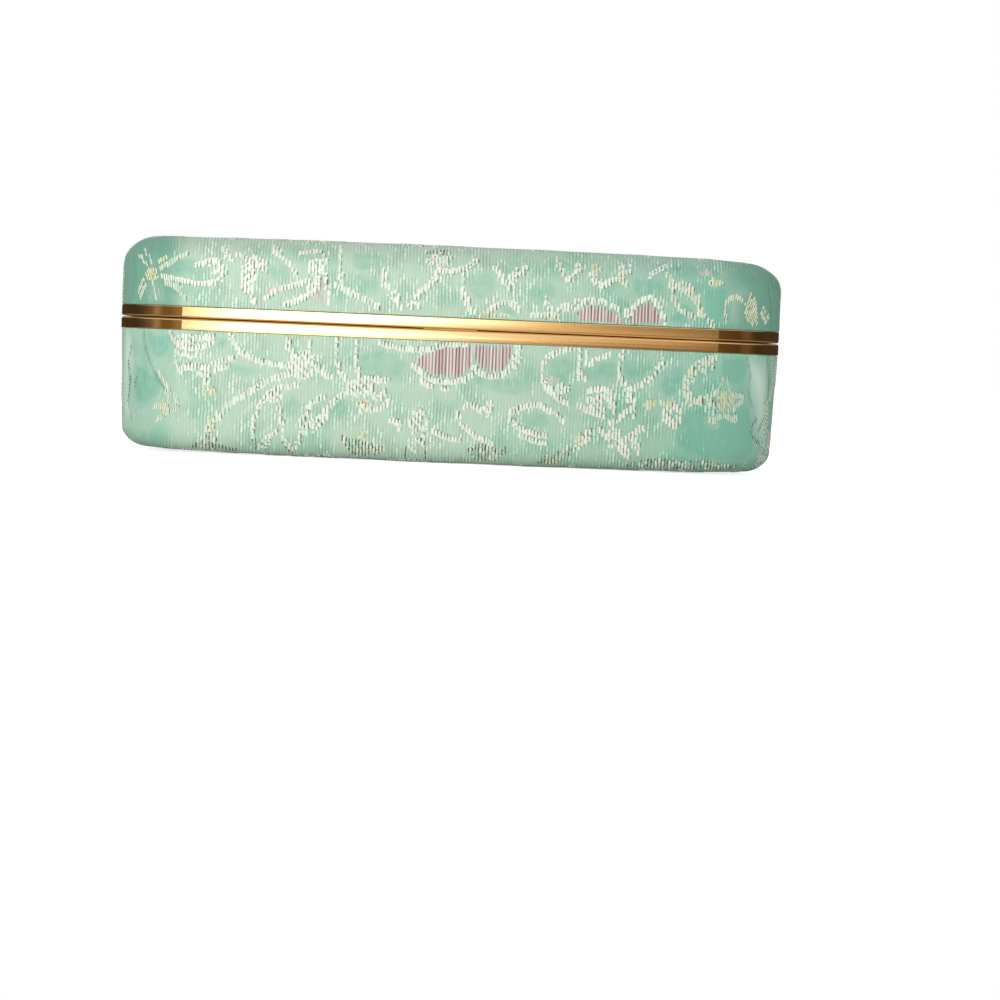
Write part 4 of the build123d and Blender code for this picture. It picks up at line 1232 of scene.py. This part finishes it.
def cloth_shares(name, u, v):
    """What the cloth's points carry for its material, each from 0 to 1: how taut, how deep in colour, partly
    as painted shade, how far darkened by painted shade in a crease or on the lid's corners, how far in a
    patch or leaf of the deeper green, and how far lightened by a painted highlight."""
    taut, deep, shade = end_shares(name, u, v)
    patches = [np.column_stack(front_to_cloth(name, outline)) for outline in PATCHES[name]]
    for _, _, leaves in sprays(name):
        patches += [outline for outline in leaves if not on_front(name, *outline.T).any()]
    highlight_outlines = [np.column_stack(front_to_cloth(name, outline)) for outline in PAINTED_HIGHLIGHTS[name]]
    return {
        "taut": taut,
        "deep": deep,
        # painted shade in the creases and on the lid's corners
        "crease": np.maximum(crease_share(name, u, v), shade),
        "patch": patch_share(u, v, patches, soft=0.9),
        "painted_highlight": 0.8 * patch_share(u, v, highlight_outlines, soft=5.0),
    }


def shadow_floats(white):
    """Fine and shorter dark floats beside four in five of the white ones, half a rib to their right: painted
    shadows of the white floats, which also give the ground its stipple."""
    rows = white[random.random(len(white)) < 0.8] + (RIB / 2, -0.12, 0, 0)
    rows[:, 2] *= 0.75
    rows[:, 3] = random.uniform(0.0, 1.0, len(rows)) ** 2 * 0.9
    return rows


def build_half(name, stems, fills):
    """The brocade over one half and the floats of its figures."""
    run_end = profiles[name][0][-1]
    flat, faces, _ = cloth_grid(name, run_end)
    points, shares = drape(name, *flat.T), cloth_shares(name, *flat.T)
    cover = new_mesh(f"{name}_cover", points, outward(name, faces), brocade, shares, flat)
    shell = cover.modifiers.new("thickness", "SOLIDIFY")
    shell.thickness = cloth_thickness * MM
    shell.offset = -1
    threads = gather_floats(name, stems, fills)
    # The dark floats, with the painted shadows of the white floats added
    dark = np.concatenate([threads["dark"], shadow_floats(threads["lame"])])
    floats = [
        float_mesh(name, f"{name}_lame_floats", threads["lame"], lame, width=0.32, rise=0.1),
        float_mesh(name, f"{name}_dyed_floats", threads["dyed"], dyed, width=0.25, rise=0.05),
        float_mesh(name, f"{name}_dark_and_painted_shadow_floats", dark, dark_and_shadow_thread, width=0.17, rise=0.035),
    ]
    place_piece(cover, name, "brocade", f"{name}_brocade")
    for piece in floats:
        place_piece(piece, name, "brocade")


def build_padding(name, material):
    """The wadding between the cloth and the steel pan: its outside follows the cloth, its inside the pan."""
    run_table, _, level_table = profiles[name]
    end_level = frame_top + 0.55
    last = np.interp(-end_level, -level_table, run_table)
    flat, faces, rim = cloth_grid(name, last, step=1.1, corner_steps=16)
    count = len(flat)
    outside = drape(name, *flat.T, -(cloth_thickness + glue_gap))
    inside = drape(name, *flat.T, -(shell_depth - glue_gap), packed=True)
    band = np.stack([rim[:-1], rim[:-1] + count, rim[1:] + count, rim[1:]], axis=1)
    faces = np.concatenate([outward(name, faces), outward(name, faces)[:, ::-1] + count, outward(name, band)])
    piece = new_mesh(f"{name}_padding", np.concatenate([outside, inside]), faces, material)
    place_piece(piece, name, "wadding", f"{name}_wadding")


NOTCH_STATIONS = np.array([-4.0, -3.999, 3.999, 4.0])  # across, where the catch's notch begins and ends


def ring(inset, level):
    """A rounded rectangle at an inset from the frames' outside face, at a level."""
    corner_steps = 12
    radius = max(corner_radius - inset, 0)
    reach_x, reach_y = half_width - inset - radius, max(half_depth - inset - radius, 0)
    points = []
    for side_x, side_y, start in ((1, -1, -90), (1, 1, 0), (-1, 1, 90), (-1, -1, 180)):
        turns = math.radians(start) + np.linspace(0, math.pi / 2, corner_steps + 1)
        x, y = side_x * reach_x + radius * np.cos(turns), side_y * reach_y + radius * np.sin(turns)
        points.append(np.column_stack([x, y]))
        if start == 0:  # the back's own stations, opposite the front's
            points.append(np.column_stack([NOTCH_STATIONS[::-1], np.full(4, reach_y + radius)]))
    points.append(np.column_stack([NOTCH_STATIONS, np.full(4, -reach_y - radius)]))
    points = np.concatenate([*points, points[0][:1]])
    return np.column_stack([points, np.full(len(points), level)])


def loft(rings, closed=False):
    """Faces between rings of points, one after another; a closed loft joins the last to the first."""
    rings = np.asarray(rings)
    if closed:
        rings = np.concatenate([rings, rings[:1]])
    return rings.reshape(-1, 3) * MM, grid_faces(len(rings), rings.shape[1])


def build_pad(node, name, material, slot, round_edge, swell):
    """A level sheet or pad in the place of a packed one, with soft edges and a face that swells a little.
    Its rings run from the middle of one face round the edge to the middle of the other."""
    low_corner, high_corner = (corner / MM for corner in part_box(node))
    inset = half_width - high_corner.x
    depth = half_depth - inset
    turns = np.linspace(-math.pi / 2, math.pi / 2, 9)
    inward = np.concatenate([
        np.linspace(depth, round_edge, 8), round_edge * (1 - np.cos(turns)), np.linspace(round_edge, depth, 8)
    ])
    middle, half_height = (low_corner.z + high_corner.z) / 2, (high_corner.z - low_corner.z) / 2
    rise = np.concatenate([np.full(8, -1.0), np.sin(turns), np.full(8, 1.0)])
    levels = middle + rise * (half_height - swell) + swell * smooth(inward / depth) * rise
    points, faces = loft([ring(inset + offset, level) for offset, level in zip(inward, levels)])
    piece = new_mesh(f"{node}_soft", points, faces[:, ::-1], material)
    place_piece(piece, name, slot, node)
    return piece


COLLAR_OUTSIDE = 2.32  # insets of the collars and of their velvet's face from the frames' outside face
COLLAR_INSIDE = 3.16
PILE_FACE = 3.51
PILE = 0.35  # thickness of the velvet
BEVEL = 0.12  # of the velvet where it turns over a collar's edge
FACE_BEVEL = 0.15  # between that turn and the velvet's face
HEM = 1.3  # height of the velvet that is turned down outside the base's collar
HEM_THICKNESS = 0.12
COLLAR_GAP = 0.01  # between a collar's card and the velvet


def collar_section(name, board, top):
    """The velvet's section, as insets and levels: up the collar's inside from the board, over its edge at
    the top and back down the velvet's own face."""
    side = sides[name]
    start = parting + side * (frame_top + glue_gap)
    lean = abs(board - start) * math.tan(drafts[name])
    under = top + side * (PILE + COLLAR_GAP)
    outside, over_edge = COLLAR_OUTSIDE, [(COLLAR_OUTSIDE, under)]
    if name == "base":  # here it is turned down outside the collar too, to just below the parting
        beside, hem = COLLAR_OUTSIDE - COLLAR_GAP, top + side * HEM
        outside = COLLAR_OUTSIDE - (HEM_THICKNESS + COLLAR_GAP)
        over_edge = [(beside, under), (beside, hem), (outside, hem)]
    return [
        (COLLAR_INSIDE + lean, board), (COLLAR_INSIDE, start), (COLLAR_INSIDE, under), *over_edge,
        (outside, top + side * BEVEL), (outside + BEVEL, top), (PILE_FACE - FACE_BEVEL, top),
        (PILE_FACE, top + side * FACE_BEVEL), (PILE_FACE, start), (PILE_FACE + lean, board),
    ]


def build_collar_velvet(name, material):
    """The velvet glued to the inside of a collar and turned over its edge, with the catch's notch at the
    front of the base. The section is lofted round the case."""
    node = f"{name}_collar_velvet"
    low_level, high_level = ((corner / MM).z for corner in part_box(node))
    board, top = (low_level, high_level) if name == "base" else (high_level, low_level)
    rings = [ring(inset, level) for inset, level in collar_section(name, board, top)]
    if name == "base":
        notch_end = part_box("catch_spring")[0].z / MM - 0.5
        for points in rings:  # their levels in the notch stay apart by a hair, so that no faces fall together
            notch = (np.abs(points[:, 0]) < NOTCH_STATIONS[-1]) & (points[:, 1] < 0)
            level = points[notch, 2]
            points[notch, 2] = np.minimum(level, notch_end - 0.001 * (top - level))
    points, faces = loft(rings, closed=True)
    piece = new_mesh(f"{node}_pile", points, outward(name, faces), material)
    place_piece(piece, name, "velvet", node)


SILVER_EDGE = 0.05  # from the glass's edge to the silver's
SILVER_GAP = 0.008  # between the glass and its silver, so that the two faces never meet
SILVER_THICKNESS = 0.02


def build_silvering(material):
    """The silver coating behind the mirror's glass: a thin closed plate, lofted from the middle of its
    near face round its edge to the middle of its far face."""
    high_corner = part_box("mirror_glass")[1] / MM
    inset = half_width - high_corner.x + SILVER_EDGE
    depth = half_depth - inset
    near = high_corner.z + SILVER_GAP
    far = near + SILVER_THICKNESS
    section = ((inset + depth, near), (inset, near), (inset, far), (inset + depth, far))
    points, faces = loft([ring(*place) for place in section])
    piece = new_mesh("mirror_silvering", points, faces[:, ::-1], material)
    piece.data.shade_flat()
    place_piece(piece, "lid", "mirror")


def velvet_pile():
    """Silk velvet, cut pile: a deep red that turns pale along its edges and darkens where it is brushed."""
    material, tree, surface = new_material(
        "cut_pile_velvet", "#7A0F1C", Roughness=0.9, Sheen_Weight=1.0, Sheen_Roughness=0.35,
        Sheen_Tint=linear("#E86A74"),
    )
    place = add_node(tree, "ShaderNodeTexCoord").outputs["Object"]
    brushed = add_ramp(tree, add_noise(tree, place, 160.0, 3.0), ((0.35, "#6A0B17"), (0.65, "#931626")))
    bump = add_bump(tree, add_noise(tree, place, 9000.0, 1.0), 0.5, 0.08 * MM)
    set_inputs(tree, surface, {"Base Color": brushed, "Normal": bump})
    return material


def fibre_pad(name, light, dark, grain):
    """Fibre or foam, pressed: a soft mottle and a rough skin of the grain's size in millimetres."""
    material, tree, surface = new_material(name, light, Roughness=1.0)
    place = add_node(tree, "ShaderNodeTexCoord").outputs["Object"]
    noise = add_noise(tree, place, 1 / (grain * MM), 3.0)
    mottle = add_ramp(tree, noise, ((0.3, dark), (0.7, light)))
    set_inputs(tree, surface, {"Base Color": mottle, "Normal": add_bump(tree, noise, 0.6, 0.3 * grain * MM)})
    return material


GILT = "#F2CE96"
POLISHED = 0.07  # roughness of the bands


def polished_brass():
    """Gilt brass, rolled and polished: the lid's band is nearly flat and the base's is bowed, so it takes
    the light from above along its upper half. Where the two meet they are matt and tawny, a painted light in
    place of what their rounded edges reflect, and browner round the corners as painted shade."""
    material, tree, surface = new_material("gilt_brass_polished", GILT, Metallic=1.0, Roughness=POLISHED)
    parts = add_node(tree, "ShaderNodeTexCoord").outputs["Object"]
    parts = add_node(tree, "ShaderNodeSeparateXYZ", {0: parts})
    span = 10.0  # of the levels round the parting plane that are turned into millimetres
    rise = add_range(tree, parts.outputs["Z"], (parting - span) * MM, (parting + span) * MM, -span, span)
    upper = add_math(tree, "GREATER_THAN", rise, 0.0)
    centre = add_math(tree, "MULTIPLY_ADD", upper, 1.95, -1.05)
    bend = add_math(tree, "MULTIPLY_ADD", upper, 0.08, -0.10)
    away = add_math(tree, "SUBTRACT", rise, centre)
    bow = add_math(tree, "MULTIPLY", add_math(tree, "MULTIPLY", away, away), bend)
    # Painted light at the parting: a matt tawny band stands in for what the rounded edges reflect, and turns
    # browner round the corners as painted shade
    painted_parting = add_step(tree, add_math(tree, "ABSOLUTE", rise), 0.28, 0.17)
    aside = add_math(tree, "ABSOLUTE", parts.outputs["X"])
    corner = add_step(tree, aside, (core_x - 2) * MM, (core_x + 1) * MM)
    matt = add_blend(tree, corner, linear("#DDA45C"), linear("#9A7548"))
    set_inputs(tree, surface, {
        "Base Color": add_blend(tree, painted_parting, linear(GILT), matt),
        "Roughness": add_range(tree, painted_parting, 0.0, 1.0, POLISHED, 0.6),
        "Metallic": add_range(tree, painted_parting, 0.0, 1.0, 1.0, 0.0),
        "Normal": add_bump(tree, bow, 1.0, MM),
    })
    return material


def paint(material, *names):
    """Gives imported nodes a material."""
    for name in names:
        mesh = frame["nodes"][name].data
        mesh.materials.clear()
        mesh.materials.append(material)


wadding = fibre_pad("polyester_wadding", "#F1F1EC", "#DADAD2", 0.8)
foam = fibre_pad("open_cell_foam", "#EFEBD8", "#CFC9B0", 0.35)
card = fibre_pad("grey_board", "#A3957B", "#8A7D66", 0.6)
tape = fibre_pad("foam_tape", "#EDEBE2", "#D8D6CA", 0.25)
velvet = velvet_pile()
bands = polished_brass()
gilt = new_material("gilt_brass_drawn", GILT, Metallic=1.0, Roughness=0.2)[0]
steel = new_material("cold_rolled_steel_pressed", "#B4B4B2", Metallic=1.0, Roughness=0.38)[0]
wire = new_material("drawn_steel_wire", "#B9B6AE", Metallic=1.0, Roughness=0.22)[0]
glass = new_material("float_glass_clear", "#F4FBF8", Transmission_Weight=1.0, IOR=1.52, Roughness=0.0)[0]
silver = new_material("silver_mirror_coating", "#EEF2F2", Metallic=1.0, Roughness=0.01)[0]

paint(bands, "base_frame", "lid_frame")
paint(gilt, "base_knuckles", "lid_knuckles", "catch_spring", "catch_rivets", "mirror_bezel")
paint(steel, "base_shell", "lid_shell")
paint(wire, "hinge_pin")
paint(card, "base_floor_board", "lid_board", "base_collar", "lid_collar")
paint(glass, "mirror_glass")
paint(tape, "mirror_tape")

for half_name in sides:
    build_padding(half_name, wadding)
build_half("base", BASE_STEMS, BASE_FILLS)
build_half("lid", LID_STEMS, LID_FILLS)
for foam_node, half_name in (("base_floor_foam", "base"), ("lid_foam", "lid")):
    build_pad(foam_node, half_name, foam, "foam", 0.3, 0.05)
floor_velvet = build_pad("base_floor_velvet", "base", velvet, "velvet", 0.1, 0.0)
for half_name in sides:
    build_collar_velvet(half_name, velvet)
build_silvering(silver)
